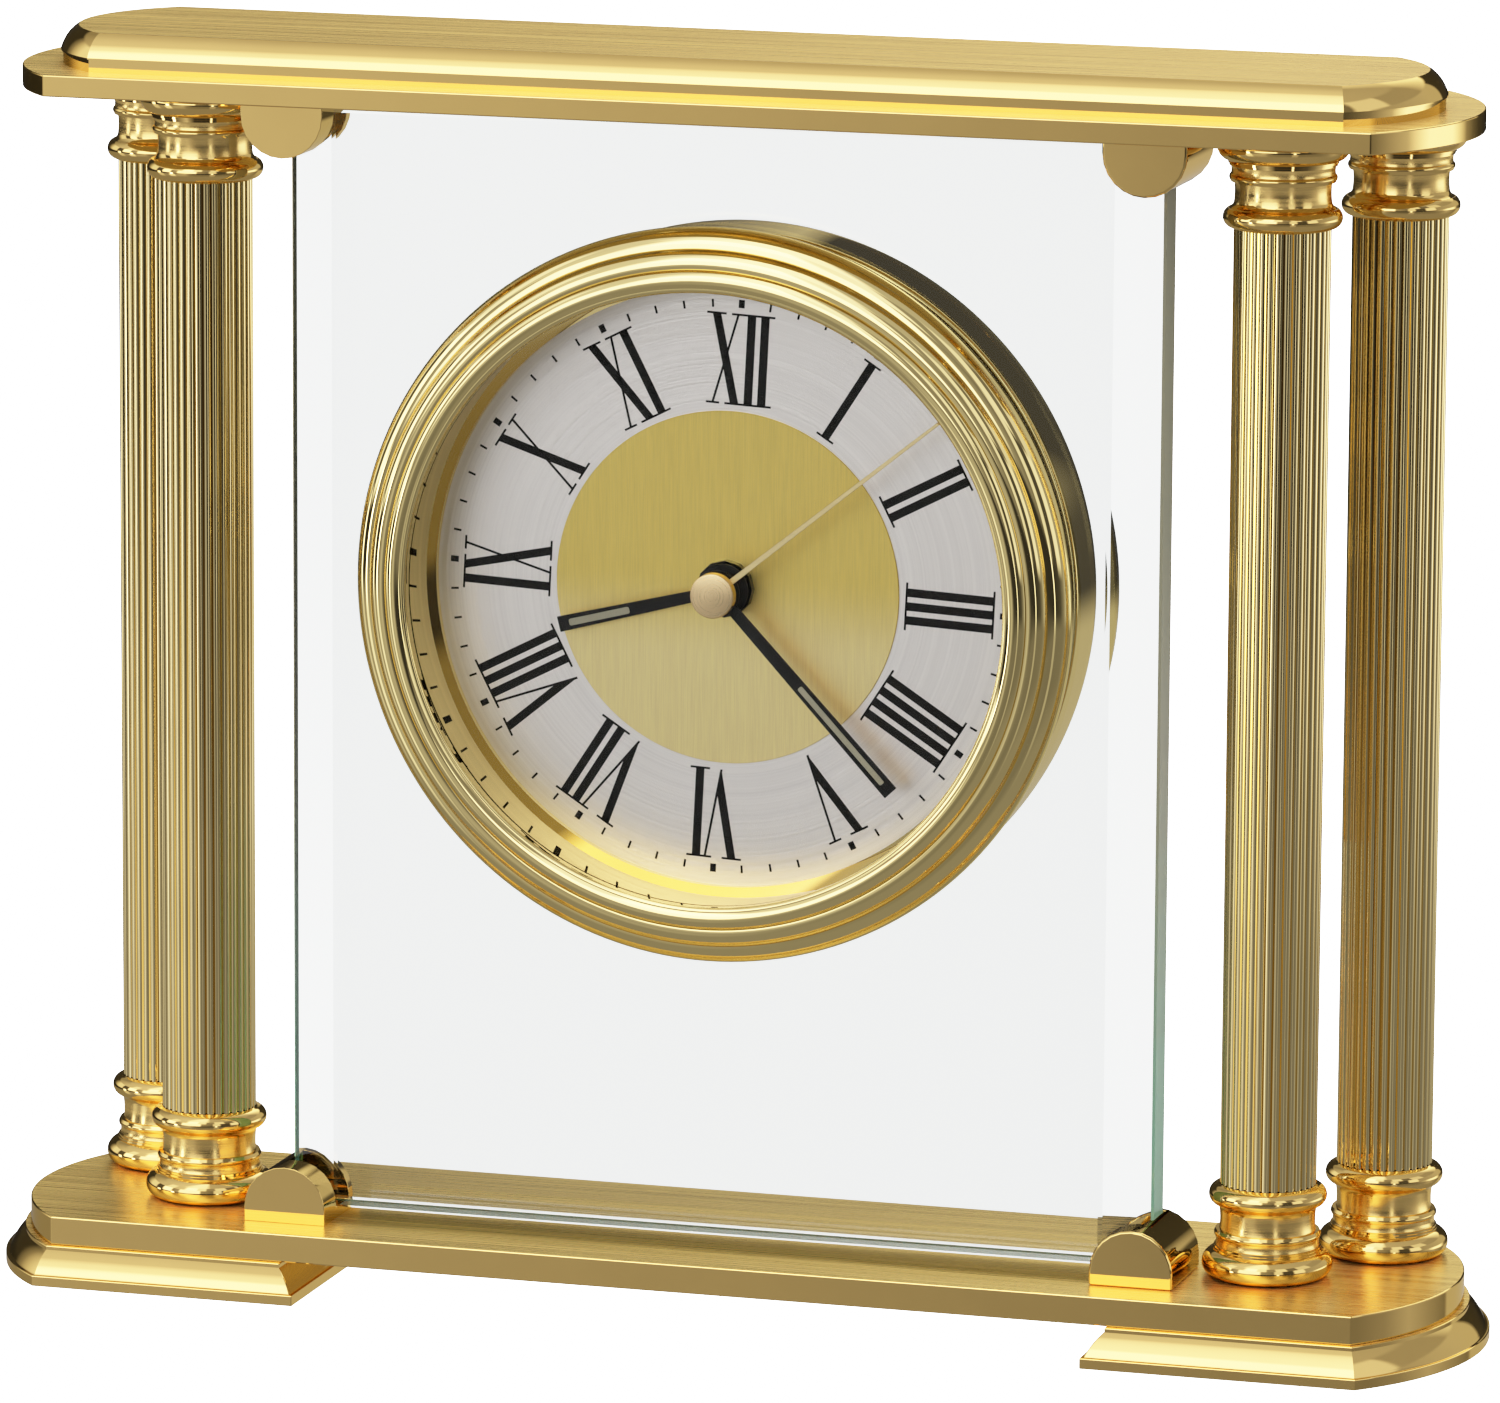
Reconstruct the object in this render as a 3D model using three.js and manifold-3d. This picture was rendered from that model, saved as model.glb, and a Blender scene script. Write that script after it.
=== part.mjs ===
// Table clock: a brass stand with four reeded columns, a bevelled glass panel and a quartz clock head.
// Millimetres, +Z up, the front faces -Y, the origin is on the floor under the middle of the stand.
import * as THREE from 'three';
import { mergeVertices } from 'three/addons/utils/BufferGeometryUtils.js';
import Module from 'manifold-3d';

// Shared clearances
const CLEARANCE = 0.3; // between a piece and the hole or pocket that holds it
const RUNNING_GAP = 0.25; // between coaxial turning pieces, and between wheels that work together
const OVERCUT = 1; // how far a cutting tool reaches past the face that it opens

// Plates: straight long edges and bowed ends
const PLATE_END_MARGIN = 5.2; // straight edge past the axis of the back columns
const PLATE_DEPTH = 56.5;
const PLATE_BOW = 11.3; // how far a bowed end reaches past the straight edge
const BASE_THICKNESS = 4.8;
const TOP_THICKNESS = 3.6;
const END_STEPS = 10; // facets along a bowed end

// Top cap
const CAP_FRONT_MARGIN = 5.6; // plate left bare in front of the cap
const CAP_CORNER_MARGIN = 5.8; // plate left bare beside the cap's corner
const CAP_BOW = 11.1;
const CAP_FOOT = 2.3; // height of the upright band under the round
const CAP_ROUND_HEIGHT = 3.9;
const CAP_ROUND = 3.0; // how far the rounded edge runs in
const CAP_BULGE = 0.5; // share of a full round in the rounded edge
const CAP_SHADOW = 0.35; // how far the upright band stands back from the round
const ROUND_STEPS = 4;

// Feet
const FOOT_REACH = 20.0; // from a front column's axis to the foot's inner end
const FOOT_PROUD = 4.3; // lip past the plate's outline
const FOOT_LIP = 1.8;
const FOOT_STEP = 0.6; // lip past the foot of the slope
const FOOT_SLOPE = 3.8; // height of the slope
const FOOT_LEDGE = 1.0; // ledge past the plate's outline
const FOOT_RIM = 0.7; // upright edge of the ledge
const FOOT_BULGE = 0.3; // share of a full round in the slope
const PAD_MARGIN = 3.0;
const PAD_POCKET = 0.5;
const PAD_PROUD = 0.3;

// Columns
const COLUMN_CLIP_GAP = 1.2; // between a front column's foot and the glass clip beside it
const COLUMN_STAGGER = 14.6; // back column further out than the front one
const COLUMN_FRONT_SETBACK = 23.65; // front column's axis behind the plates' front edge
const COLUMN_BACK_SETBACK = 12.05; // back column's axis before the plates' back edge
const COLUMN_HEIGHT = 188.4; // plate to plate
const SHAFT_RADIUS = 7.9;
const SHAFT_BORE = 6.4;
const REED_COUNT = 34;
const REED_DEPTH = 0.5;
const COLUMN_FOOT_SPREAD = 2.8; // large round past the shaft
const COLUMN_FOOT_HEIGHT = 4.6;
const COLUMN_COLLAR_SPREAD = 0.6;
const COLUMN_COLLAR_HEIGHT = 2.6;
const COLUMN_DRUM_HEIGHT = 4.6;
const COLUMN_RING_SPREAD = 1.55; // small round past the shaft
const COLUMN_RING_HEIGHT = 4.2;
const SOCKET_DEPTH = 1.0;
const COLUMN_SEGMENTS = 16;
const BOLT_RADIUS = 2.0;
const BOLT_HEAD_RADIUS = 3.6;
const BOLT_HEAD_HEIGHT = 2.4;
const BOLT_THREAD = 4.0; // length in the cap
const BOLT_SEGMENTS = 10;

// Glass panel and its clips
const GLASS_WIDTH = 148.6;
const GLASS_THICKNESS = 9.5;
const GLASS_SETBACK = 13.9; // behind the plates' front edge
const GLASS_LIFT = 1.9; // above the base and below the top plate
const BEVEL_WIDTH = 8.3; // of the bevel along each upright edge of the front face
const BEVEL_DEPTH = 2.7;
const CLIP_WIDTH = 14.1;
const CLIP_HEIGHT = 9.5;
const CLIP_OVERHANG = 5.6; // clip past the glass's side edge
const CLIP_FRONT_WALL = 6.1;
const CLIP_BACK_WALL = 2.0;
const CLIP_ARC_STEPS = 12;
const SCREW_RADIUS = 1.4;
const SCREW_HEAD_RADIUS = 2.7;
const SCREW_HEAD_HEIGHT = 1.7;
const SCREW_REACH = 4.6; // length in the clip

// Clock head: bezel, crystal and dial
const HEAD_HEIGHT = 109.7; // dial centre above the base plate
const HEAD_SEGMENTS = 36;
const BEZEL_OVERHANG = 1.6; // bezel past the drum
const BEZEL_FLANGE = 3.1; // from the glass to the widest line of the outer reed
const REED_WIDTH = 3.1; // one bezel reed, measured across the radius
const OUTER_REED_RISE = 2.9; // how far each bezel reed steps forward
const MIDDLE_REED_RISE = 2.0;
const INNER_REED_RISE = 0.9;
const REED_BULGE = 0.75;
const LIP_WIDTH = 1.3;
const LIP_THICKNESS = 1.9;
const WALL_THICKNESS = 1.6; // polished wall between crystal and dial
const WALL_LENGTH = 10.3;
const NECK_WALL = 1.7;
const NECK_THREAD = 3.0; // neck past the back of the glass
const CRYSTAL_THICKNESS = 2.0;
const DIAL_RING_WIDTH = 1.4; // dial ring past the polished wall
const DIAL_RING_THICKNESS = 1.2;
const DIAL_THICKNESS = 0.8;
const NUMERAL_BAND = 19.7; // width of the dial's outer band
const DIAL_CENTRE_THICKNESS = 0.3;
const RETAINER_THICKNESS = 1.5;
const RETAINER_WIDTH = 2.2;

// Drum and rear cover
const DRUM_RADIUS = 59.2;
const DRUM_SHOULDER = 5.2; // drum past the bezel's neck
const DRUM_WALL = 1.4;
const DRUM_WEB = 2.0;
const DRUM_LENGTH = 19.0;
const DRUM_EDGE = 0.8;
const DRUM_ROUND = 10.0; // radius of the rounded back edge, which runs on over the rear cover
const GASKET_THICKNESS = 0.5;
const COVER_THICKNESS = 2.0;
const COVER_SPIGOT = 3.0;
const COVER_SPIGOT_WALL = 1.4;

// Battery door
const DOOR_WIDTH = 54;
const DOOR_HEIGHT = 17;
const DOOR_PIVOT_RADIUS = 0.5;
const DOOR_PIVOT_LENGTH = 1.6;
const DOOR_TAB_WIDTH = 12;
const DOOR_TAB_HEIGHT = 1.6;

// Hands
const HAND_THICKNESS = 0.4;
const HOUR_HAND_RISE = 3.0; // back of the hand above the dial
const MINUTE_HAND_RISE = 5.2;
const SECOND_HAND_RISE = 7.4;
const HOUR_HAND_SHORT = 0.3; // short of the dial's centre disc
const MINUTE_HAND_SHORT = 5.7; // short of the dial's edge
const SECOND_HAND_SHORT = 0.7;
const HAND_TIP_WIDTH = 2.6;
const HAND_ROOT_WIDTH = 1.9;
const SECOND_TIP_WIDTH = 0.5;
const SECOND_ROOT_WIDTH = 1.0;
const HOUR_HUB_RADIUS = 4.4;
const MINUTE_HUB_RADIUS = 3.7;
const CAP_DISC_RADIUS = 3.7;
const CAP_DISC_THICKNESS = 1.6;
const HOUR_ANGLE = 255.5; // degrees clockwise from upright
const MINUTE_ANGLE = 136.8;
const SECOND_ANGLE = 51.3;

// Arbors of the hands, one inside the other
const SECOND_ARBOR_RADIUS = 0.5;
const PIPE_WALL = 0.5;
const BUSH_WALL = 0.8;
const NUT_WALL = 1.4;
const NUT_THICKNESS = 1.5;
const BUSH_PROUD = 2.2; // bush past the dial's front
const ARBOR_SEGMENTS = 12;

// Movement
const MOVEMENT_SIZE = 56;
const MOVEMENT_THICKNESS = 16.5;
const MOVEMENT_WALL = 1.3;
const BATTERY_RADIUS = 7.25;
const BATTERY_LENGTH = 49.2;
const BATTERY_NUB_RADIUS = 2.7;
const BATTERY_NUB = 1.3;
const BATTERY_SEGMENTS = 18;
const WHEEL_THICKNESS = 0.7;
const LAYER_GAP = 0.7; // between wheels that lie one above the other
const TOOTH_DEPTH = 0.5;
const MOTION_DISTANCE = 9.6; // centre to motion wheel, and motion wheel to set pinion
const MOTION_DIRECTION = 30; // degrees anticlockwise from +X
const THIRD_DISTANCE = 8.6;
const THIRD_DIRECTION = 160;
const INTERMEDIATE_DISTANCE = 8.9;
const INTERMEDIATE_DIRECTION = 90;
const ROTOR_DISTANCE = 6.5;
const ROTOR_DIRECTION = 149;
const CANNON_TEETH = 8;
const MOTION_TEETH = 24;
const MOTION_PINION_TEETH = 6;
const HOUR_TEETH = 24;
const SMALL_PINION_TEETH = 6;
const CENTRE_TEETH = 48;
const THIRD_TEETH = 45;
const SECOND_TEETH = 36;
const INTERMEDIATE_TEETH = 30;
const ROTOR_RADIUS = 2.3;
const ROTOR_THICKNESS = 1.6;
const COIL_LENGTH = 16;
const COIL_RADIUS = 3.2;
const STATOR_WIDTH = 9;
const STATOR_THICKNESS = 1.2;
const BOARD_WIDTH = 16;
const BOARD_HEIGHT = 14;
const BOARD_THICKNESS = 0.8;
const KNOB_RADIUS = 5.5;
const KNOB_LENGTH = 5.0;
const KNOB_STANDOFF = 0.8; // knob off the rear cover
const KNOB_ARBOR_RADIUS = 1.0;
const KNOB_FACETS = 16;

// Heights, from the floor up
const footBottom = PAD_PROUD;
const footHeight = FOOT_LIP + FOOT_SLOPE + FOOT_RIM;
const baseBottom = footBottom + footHeight;
const baseTop = baseBottom + BASE_THICKNESS;
const topBottom = baseTop + COLUMN_HEIGHT;
const topTop = topBottom + TOP_THICKNESS;
const headZ = baseTop + HEAD_HEIGHT;

// Depths, from the front edge of the plates backwards
const plateFront = -PLATE_DEPTH / 2;
const glassFront = plateFront + GLASS_SETBACK;
const glassBack = glassFront + GLASS_THICKNESS;
const lipFront = glassFront - BEZEL_FLANGE - OUTER_REED_RISE - MIDDLE_REED_RISE - INNER_REED_RISE;
const lipBack = lipFront + LIP_THICKNESS;
const crystalBack = lipBack + CRYSTAL_THICKNESS;
const wallBack = crystalBack + WALL_LENGTH;
const dialFront = wallBack + DIAL_RING_THICKNESS;
const dialBack = dialFront + DIAL_THICKNESS;
const neckEnd = Math.max(glassBack + NECK_THREAD, dialBack + RETAINER_THICKNESS);
const drumFront = glassBack + GASKET_THICKNESS;
const drumBack = drumFront + DRUM_LENGTH;
const coverBack = drumBack + COVER_THICKNESS;
const roundFront = coverBack - DRUM_ROUND;

// Radii of the pieces that sit one inside the other in the bezel's neck
const neckRadius = DRUM_RADIUS - DRUM_SHOULDER;
const boreRadius = neckRadius - NECK_WALL;
const insertRadius = boreRadius - CLEARANCE;
const wallRadius = insertRadius - WALL_THICKNESS;
const dialRadius = wallRadius - DIAL_RING_WIDTH;
const centreRadius = dialRadius - NUMERAL_BAND;
const lipRadius = wallRadius + CLEARANCE;
const holeRadius = neckRadius + CLEARANCE;
const bezelRadius = DRUM_RADIUS + BEZEL_OVERHANG;
const flatRadius = DRUM_RADIUS - DRUM_ROUND;

// Places across, from the glass outwards
const glassHalf = GLASS_WIDTH / 2;
const clipOuter = glassHalf + CLIP_OVERHANG;
const columnFrontX = clipOuter + COLUMN_CLIP_GAP + SHAFT_RADIUS + COLUMN_FOOT_SPREAD;
const columnBackX = columnFrontX + COLUMN_STAGGER;
const plateHalf = columnBackX + PLATE_END_MARGIN;
const footInner = columnFrontX - FOOT_REACH;

// Radii of the pieces that turn one inside the other at the dial's centre
const minutePipeBore = SECOND_ARBOR_RADIUS + RUNNING_GAP;
const minutePipeRadius = minutePipeBore + PIPE_WALL;
const hourPipeBore = minutePipeRadius + RUNNING_GAP;
const hourPipeRadius = hourPipeBore + PIPE_WALL;
const bushBore = hourPipeRadius + RUNNING_GAP;
const bushRadius = bushBore + BUSH_WALL;
const dialHoleRadius = bushRadius + CLEARANCE;

const wasm = await Module();
wasm.setup();

const WELD = 1e-4;
const clock = new THREE.Group();

const finishes = {
  brass: { color: 0xd9b65a, roughness: 0.15, metalness: 1 },
  brushedBrass: { color: 0xc9a046, roughness: 0.35, metalness: 1 },
  silver: { color: 0xc8c4be, roughness: 0.35, metalness: 0.9 },
  steel: { color: 0x9a9a98, roughness: 0.3, metalness: 1 },
  glass: { color: 0xe8f4ee, roughness: 0.02, metalness: 0, transparent: true, opacity: 0.3 },
  black: { color: 0x141414, roughness: 0.4, metalness: 0 },
  blackPlastic: { color: 0x1c1c1e, roughness: 0.55, metalness: 0 },
  whitePlastic: { color: 0xe6e3da, roughness: 0.5, metalness: 0 },
  rubber: { color: 0x26241f, roughness: 0.9, metalness: 0 },
  felt: { color: 0x1d3324, roughness: 1, metalness: 0 },
  copper: { color: 0xb5672f, roughness: 0.4, metalness: 1 },
  board: { color: 0x2d5a3a, roughness: 0.6, metalness: 0 },
  battery: { color: 0x6f757c, roughness: 0.35, metalness: 0.6 },
};

// Closed solid of a geometry, with its faces turned outwards.
function solidOf(geometry) {
  const bare = geometry.clone();
  bare.deleteAttribute('normal');
  bare.deleteAttribute('uv');
  const merged = mergeVertices(bare, WELD);
  const place = merged.attributes.position;
  const [a, b, c] = [new THREE.Vector3(), new THREE.Vector3(), new THREE.Vector3()];
  const triangles = [];
  let volume = 0;
  for (let i = 0; i < merged.index.count; i += 3) {
    const corners = [0, 1, 2].map((k) => merged.index.getX(i + k));
    if (new Set(corners).size < 3) continue;
    a.fromBufferAttribute(place, corners[0]);
    b.fromBufferAttribute(place, corners[1]);
    c.fromBufferAttribute(place, corners[2]);
    volume += a.dot(b.cross(c));
    triangles.push(corners);
  }
  const outward = volume < 0 ? triangles.map((t) => [t[0], t[2], t[1]]) : triangles;
  return new wasm.Manifold(new wasm.Mesh({
    numProp: 3,
    vertProperties: Float32Array.from(place.array),
    triVerts: Uint32Array.from(outward.flat()),
  }));
}

function cut(body, ...tools) {
  return tools.reduce((left, tool) => left.subtract(tool), body);
}

function join(...solids) {
  return solids.reduce((sum, solid) => sum.add(solid));
}

function addPiece(name, solid, finish) {
  const { vertProperties, triVerts } = solid.getMesh();
  const geometry = new THREE.BufferGeometry();
  geometry.setAttribute('position', new THREE.BufferAttribute(vertProperties, 3));
  geometry.setIndex(new THREE.BufferAttribute(triVerts, 1));
  const material = new THREE.MeshStandardMaterial({ ...finishes[finish], flatShading: true });
  const mesh = new THREE.Mesh(geometry, material);
  mesh.name = name;
  clock.add(mesh);
}

// Piece turned on a lathe; profile points are [radius, place along the axis].
function turnedGeometry(profile, segments) {
  return new THREE.LatheGeometry(profile.map(([r, y]) => new THREE.Vector2(r, y)), segments);
}

// Turned about an upright axis through x, y.
function turnedUpright(profile, segments, x, y) {
  return solidOf(turnedGeometry(profile, segments).rotateX(Math.PI / 2).translate(x, y, 0));
}

// Turned about an axis that runs front to back through x, z.
function turnedDeep(profile, segments, x = 0, z = headZ) {
  return solidOf(turnedGeometry(profile, segments).translate(x, 0, z));
}

function ringProfile(inner, outer, from, to) {
  return [[inner, from], [outer, from], [outer, to], [inner, to], [inner, from]];
}

function rodProfile(radius, from, to) {
  return [[0, from], [radius, from], [radius, to], [0, to]];
}

function uprightRod(radius, from, to, x, y, segments = BOLT_SEGMENTS) {
  return turnedUpright(rodProfile(radius, from, to), segments, x, y);
}

function deepRod(radius, from, to, x, z, segments = ARBOR_SEGMENTS) {
  return turnedDeep(rodProfile(radius, from, to), segments, x, z);
}

function block(x0, x1, y0, y1, z0, z1) {
  const box = new THREE.BoxGeometry(x1 - x0, y1 - y0, z1 - z0);
  return solidOf(box.translate((x0 + x1) / 2, (y0 + y1) / 2, (z0 + z1) / 2));
}

// Outline drawn as seen from the front, given depth from y0 to y1.
function frontSlab(points, y0, y1, x = 0, z = 0) {
  const shape = new THREE.Shape(points);
  const slab = new THREE.ExtrudeGeometry(shape, { depth: y1 - y0, bevelEnabled: false });
  return solidOf(slab.rotateX(Math.PI / 2).translate(x, y1, z));
}

// Solid through a row of outlines with as many points each; place turns an outline point into a corner.
function loft(rings, place) {
  const count = rings[0].length;
  const corners = rings.flatMap((ring, level) => ring.map((point) => place(point, level)));
  const faces = [];
  for (let level = 0; level + 1 < rings.length; level += 1) {
    for (let i = 0; i < count; i += 1) {
      const next = (i + 1) % count;
      const low = level * count;
      const high = low + count;
      faces.push(low + i, low + next, high + next, low + i, high + next, high + i);
    }
  }
  const last = (rings.length - 1) * count;
  const fill = THREE.ShapeUtils.triangulateShape;
  fill(rings[0], []).forEach(([a, b, c]) => faces.push(c, b, a));
  fill(rings.at(-1), []).forEach(([a, b, c]) => faces.push(last + a, last + b, last + c));
  const geometry = new THREE.BufferGeometry().setFromPoints(corners);
  geometry.setIndex(faces);
  return solidOf(geometry);
}

// Stack of plan outlines; profile rows are [growth past the plain outline, height].
function moulded(outline, profile) {
  const rings = profile.map(([growth]) => outline(growth));
  return loft(rings, (point, level) => new THREE.Vector3(point.x, point.y, profile[level][1]));
}

// Points along a bowed right end, grown outwards by growth.
function bowedEnd(half, depth, bow, growth) {
  const radius = (depth * depth / 4 + bow * bow) / (2 * bow);
  const centre = half + bow - radius;
  const sweep = Math.asin((depth / 2 + growth) / (radius + growth));
  return Array.from({ length: END_STEPS + 1 }, (_, i) => {
    const angle = sweep * (2 * i / END_STEPS - 1);
    const reach = radius + growth;
    return new THREE.Vector2(centre + reach * Math.cos(angle), reach * Math.sin(angle));
  });
}

function slabOutline(half, depth, bow) {
  return (growth) => {
    const right = bowedEnd(half, depth, bow, growth);
    const left = right.map((point) => new THREE.Vector2(-point.x, -point.y));
    return [...right, ...left];
  };
}

function polar(distance, degrees) {
  const angle = THREE.MathUtils.degToRad(degrees);
  return [distance * Math.cos(angle), distance * Math.sin(angle)];
}

// Plates, cap and feet

const columnFrontY = plateFront + COLUMN_FRONT_SETBACK;
const columnBackY = PLATE_DEPTH / 2 - COLUMN_BACK_SETBACK;
const columns = [
  ['front_left', -columnFrontX, columnFrontY],
  ['front_right', columnFrontX, columnFrontY],
  ['back_left', -columnBackX, columnBackY],
  ['back_right', columnBackX, columnBackY],
];
const plateOutline = slabOutline(plateHalf, PLATE_DEPTH, PLATE_BOW);
const boltHole = BOLT_RADIUS + CLEARANCE;

function boltHoles(from, to) {
  return columns.map(([, x, y]) => uprightRod(boltHole, from, to, x, y));
}

const clipX = clipOuter - CLIP_WIDTH / 2;
const slotFront = glassFront - CLEARANCE;
const slotBack = glassBack + CLEARANCE;
const clipFront = slotFront - CLIP_FRONT_WALL;
const clipBack = slotBack + CLIP_BACK_WALL;
const screwY = (clipFront + slotFront) / 2;
const screwHole = SCREW_RADIUS + CLEARANCE;
const headHole = SCREW_HEAD_RADIUS + CLEARANCE;
const headPocket = SCREW_HEAD_HEIGHT + CLEARANCE;

function buildPlates() {
  const base = cut(
    moulded(plateOutline, [[0, baseBottom], [0, baseTop]]),
    ...boltHoles(baseBottom - OVERCUT, baseTop + OVERCUT),
    ...[-clipX, clipX].flatMap((x) => [
      uprightRod(screwHole, baseBottom - OVERCUT, baseTop + OVERCUT, x, screwY),
      uprightRod(headHole, baseBottom - OVERCUT, baseBottom + headPocket, x, screwY),
    ]),
  );
  addPiece('base_plate', base, 'brushedBrass');
  const top = cut(
    moulded(plateOutline, [[0, topBottom], [0, topTop]]),
    ...boltHoles(topBottom - OVERCUT, topTop + OVERCUT),
    ...[-clipX, clipX].flatMap((x) => [
      uprightRod(screwHole, topBottom - OVERCUT, topTop + OVERCUT, x, screwY),
      uprightRod(headHole, topTop - headPocket, topTop + OVERCUT, x, screwY),
    ]),
  );
  addPiece('top_plate', top, 'brushedBrass');
}

// Inset and height along a slope that bulges outwards, from its foot to its top.
function bulgedSlope(run, rise, bulge) {
  return Array.from({ length: ROUND_STEPS + 1 }, (_, i) => {
    const share = i / ROUND_STEPS;
    const angle = share * (Math.PI / 2);
    const inset = THREE.MathUtils.lerp(share, 1 - Math.cos(angle), bulge);
    const height = THREE.MathUtils.lerp(share, Math.sin(angle), bulge);
    return [run * inset, rise * height];
  });
}

function buildCap() {
  const outline = slabOutline(plateHalf - CAP_CORNER_MARGIN, PLATE_DEPTH - 2 * CAP_FRONT_MARGIN, CAP_BOW);
  const roundBottom = topTop + CAP_FOOT;
  const slope = bulgedSlope(CAP_ROUND, CAP_ROUND_HEIGHT, CAP_BULGE);
  const profile = [
    [-CAP_SHADOW, topTop],
    [-CAP_SHADOW, roundBottom],
    ...slope.map(([inset, height]) => [-inset, roundBottom + height]),
  ];
  const holes = boltHoles(topTop - OVERCUT, topTop + BOLT_THREAD + CLEARANCE);
  addPiece('top_cap', cut(moulded(outline, profile), ...holes), 'brushedBrass');
}

function buildFeet() {
  const headBottom = footBottom + PAD_POCKET + CLEARANCE;
  const slopeTop = FOOT_LIP + FOOT_SLOPE;
  const slopeFoot = FOOT_PROUD - FOOT_STEP;
  const slope = bulgedSlope(slopeFoot - FOOT_LEDGE, FOOT_SLOPE, FOOT_BULGE);
  const profile = [
    [FOOT_PROUD, 0],
    [FOOT_PROUD, FOOT_LIP],
    ...slope.map(([inset, height]) => [slopeFoot - inset, FOOT_LIP + height]),
    [FOOT_LEDGE, slopeTop + FOOT_RIM],
  ];
  const lifted = profile.map(([growth, height]) => [growth, footBottom + height]);
  [['left', -1], ['right', 1]].forEach(([side, sign]) => {
    const outline = (growth) => {
      const end = bowedEnd(plateHalf, PLATE_DEPTH, PLATE_BOW, growth);
      const depth = PLATE_DEPTH / 2 + growth;
      const inner = footInner - growth;
      const points = [new THREE.Vector2(inner, -depth), ...end, new THREE.Vector2(inner, depth)];
      return points.map((point) => point.multiplyScalar(sign));
    };
    const padGrowth = FOOT_PROUD - PAD_MARGIN;
    const pocketTop = footBottom + PAD_POCKET;
    const pocket = moulded(outline, [
      [padGrowth + CLEARANCE, footBottom - OVERCUT],
      [padGrowth + CLEARANCE, pocketTop],
    ]);
    const under = columns.filter(([, x]) => x * sign > 0);
    const bores = under.flatMap(([, x, y]) => [
      uprightRod(boltHole, footBottom, baseBottom + OVERCUT, x, y),
      uprightRod(BOLT_HEAD_RADIUS + CLEARANCE, footBottom, headBottom + BOLT_HEAD_HEIGHT, x, y),
    ]);
    addPiece(`${side}_foot`, cut(moulded(outline, lifted), pocket, ...bores), 'brass');
    addPiece(`${side}_foot_pad`, moulded(outline, [[padGrowth, 0], [padGrowth, pocketTop]]), 'felt');
  });
}

// Columns

function columnEndProfile() {
  const foot = SHAFT_RADIUS + COLUMN_FOOT_SPREAD;
  const collar = SHAFT_RADIUS + COLUMN_COLLAR_SPREAD;
  const ring = SHAFT_RADIUS + COLUMN_RING_SPREAD;
  const socket = SHAFT_RADIUS + CLEARANCE / 2;
  const footTop = COLUMN_FOOT_HEIGHT;
  const collarTop = footTop + COLUMN_COLLAR_HEIGHT;
  const drumTop = collarTop + COLUMN_DRUM_HEIGHT;
  const ringTop = drumTop + COLUMN_RING_HEIGHT;
  const seat = ringTop - SOCKET_DEPTH;
  return {
    seat,
    points: [
      [boltHole, 0],
      [foot - 0.3 * COLUMN_FOOT_SPREAD, 0],
      [foot, 0.3 * footTop],
      [foot, 0.65 * footTop],
      [foot - 0.45 * COLUMN_FOOT_SPREAD, footTop],
      [collar, footTop],
      [collar, collarTop],
      [SHAFT_RADIUS, collarTop],
      [SHAFT_RADIUS, drumTop],
      [ring, drumTop + 0.3 * COLUMN_RING_HEIGHT],
      [ring, drumTop + 0.7 * COLUMN_RING_HEIGHT],
      [socket, ringTop],
      [socket, seat],
      [boltHole, seat],
      [boltHole, 0],
    ],
  };
}

function reededOutline() {
  return Array.from({ length: 2 * REED_COUNT }, (_, i) => {
    const radius = i % 2 ? SHAFT_RADIUS - REED_DEPTH : SHAFT_RADIUS;
    const angle = (Math.PI * i) / REED_COUNT;
    return new THREE.Vector2(radius * Math.cos(angle), radius * Math.sin(angle));
  });
}

function buildColumns() {
  const { seat, points } = columnEndProfile();
  const headBottom = footBottom + PAD_POCKET + CLEARANCE;
  const shaftShape = new THREE.Shape(reededOutline());
  shaftShape.holes.push(new THREE.Path().absarc(0, 0, SHAFT_BORE, 0, 2 * Math.PI, true));
  const shaftLength = COLUMN_HEIGHT - 2 * seat;
  columns.forEach(([place, x, y]) => {
    const base = points.map(([r, h]) => [r, baseTop + h]);
    const capital = points.map(([r, h]) => [r, topBottom - h]);
    addPiece(`${place}_column_base`, turnedUpright(base, COLUMN_SEGMENTS, x, y), 'brass');
    addPiece(`${place}_column_capital`, turnedUpright(capital, COLUMN_SEGMENTS, x, y), 'brass');
    const shaft = new THREE.ExtrudeGeometry(shaftShape, {
      depth: shaftLength,
      bevelEnabled: false,
      curveSegments: COLUMN_SEGMENTS / 2,
    });
    addPiece(`${place}_column_shaft`, solidOf(shaft.translate(x, y, baseTop + seat)), 'brass');
    const bolt = turnedUpright([
      [0, headBottom],
      [BOLT_HEAD_RADIUS, headBottom],
      [BOLT_HEAD_RADIUS, headBottom + BOLT_HEAD_HEIGHT],
      [BOLT_RADIUS, headBottom + BOLT_HEAD_HEIGHT],
      [BOLT_RADIUS, topTop + BOLT_THREAD],
      [0, topTop + BOLT_THREAD],
    ], BOLT_SEGMENTS, x, y);
    addPiece(`${place}_column_bolt`, bolt, 'steel');
  });
}

// Glass panel, clips and their screws

const glassBottom = baseTop + GLASS_LIFT;
const glassTop = topBottom - GLASS_LIFT;

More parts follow.
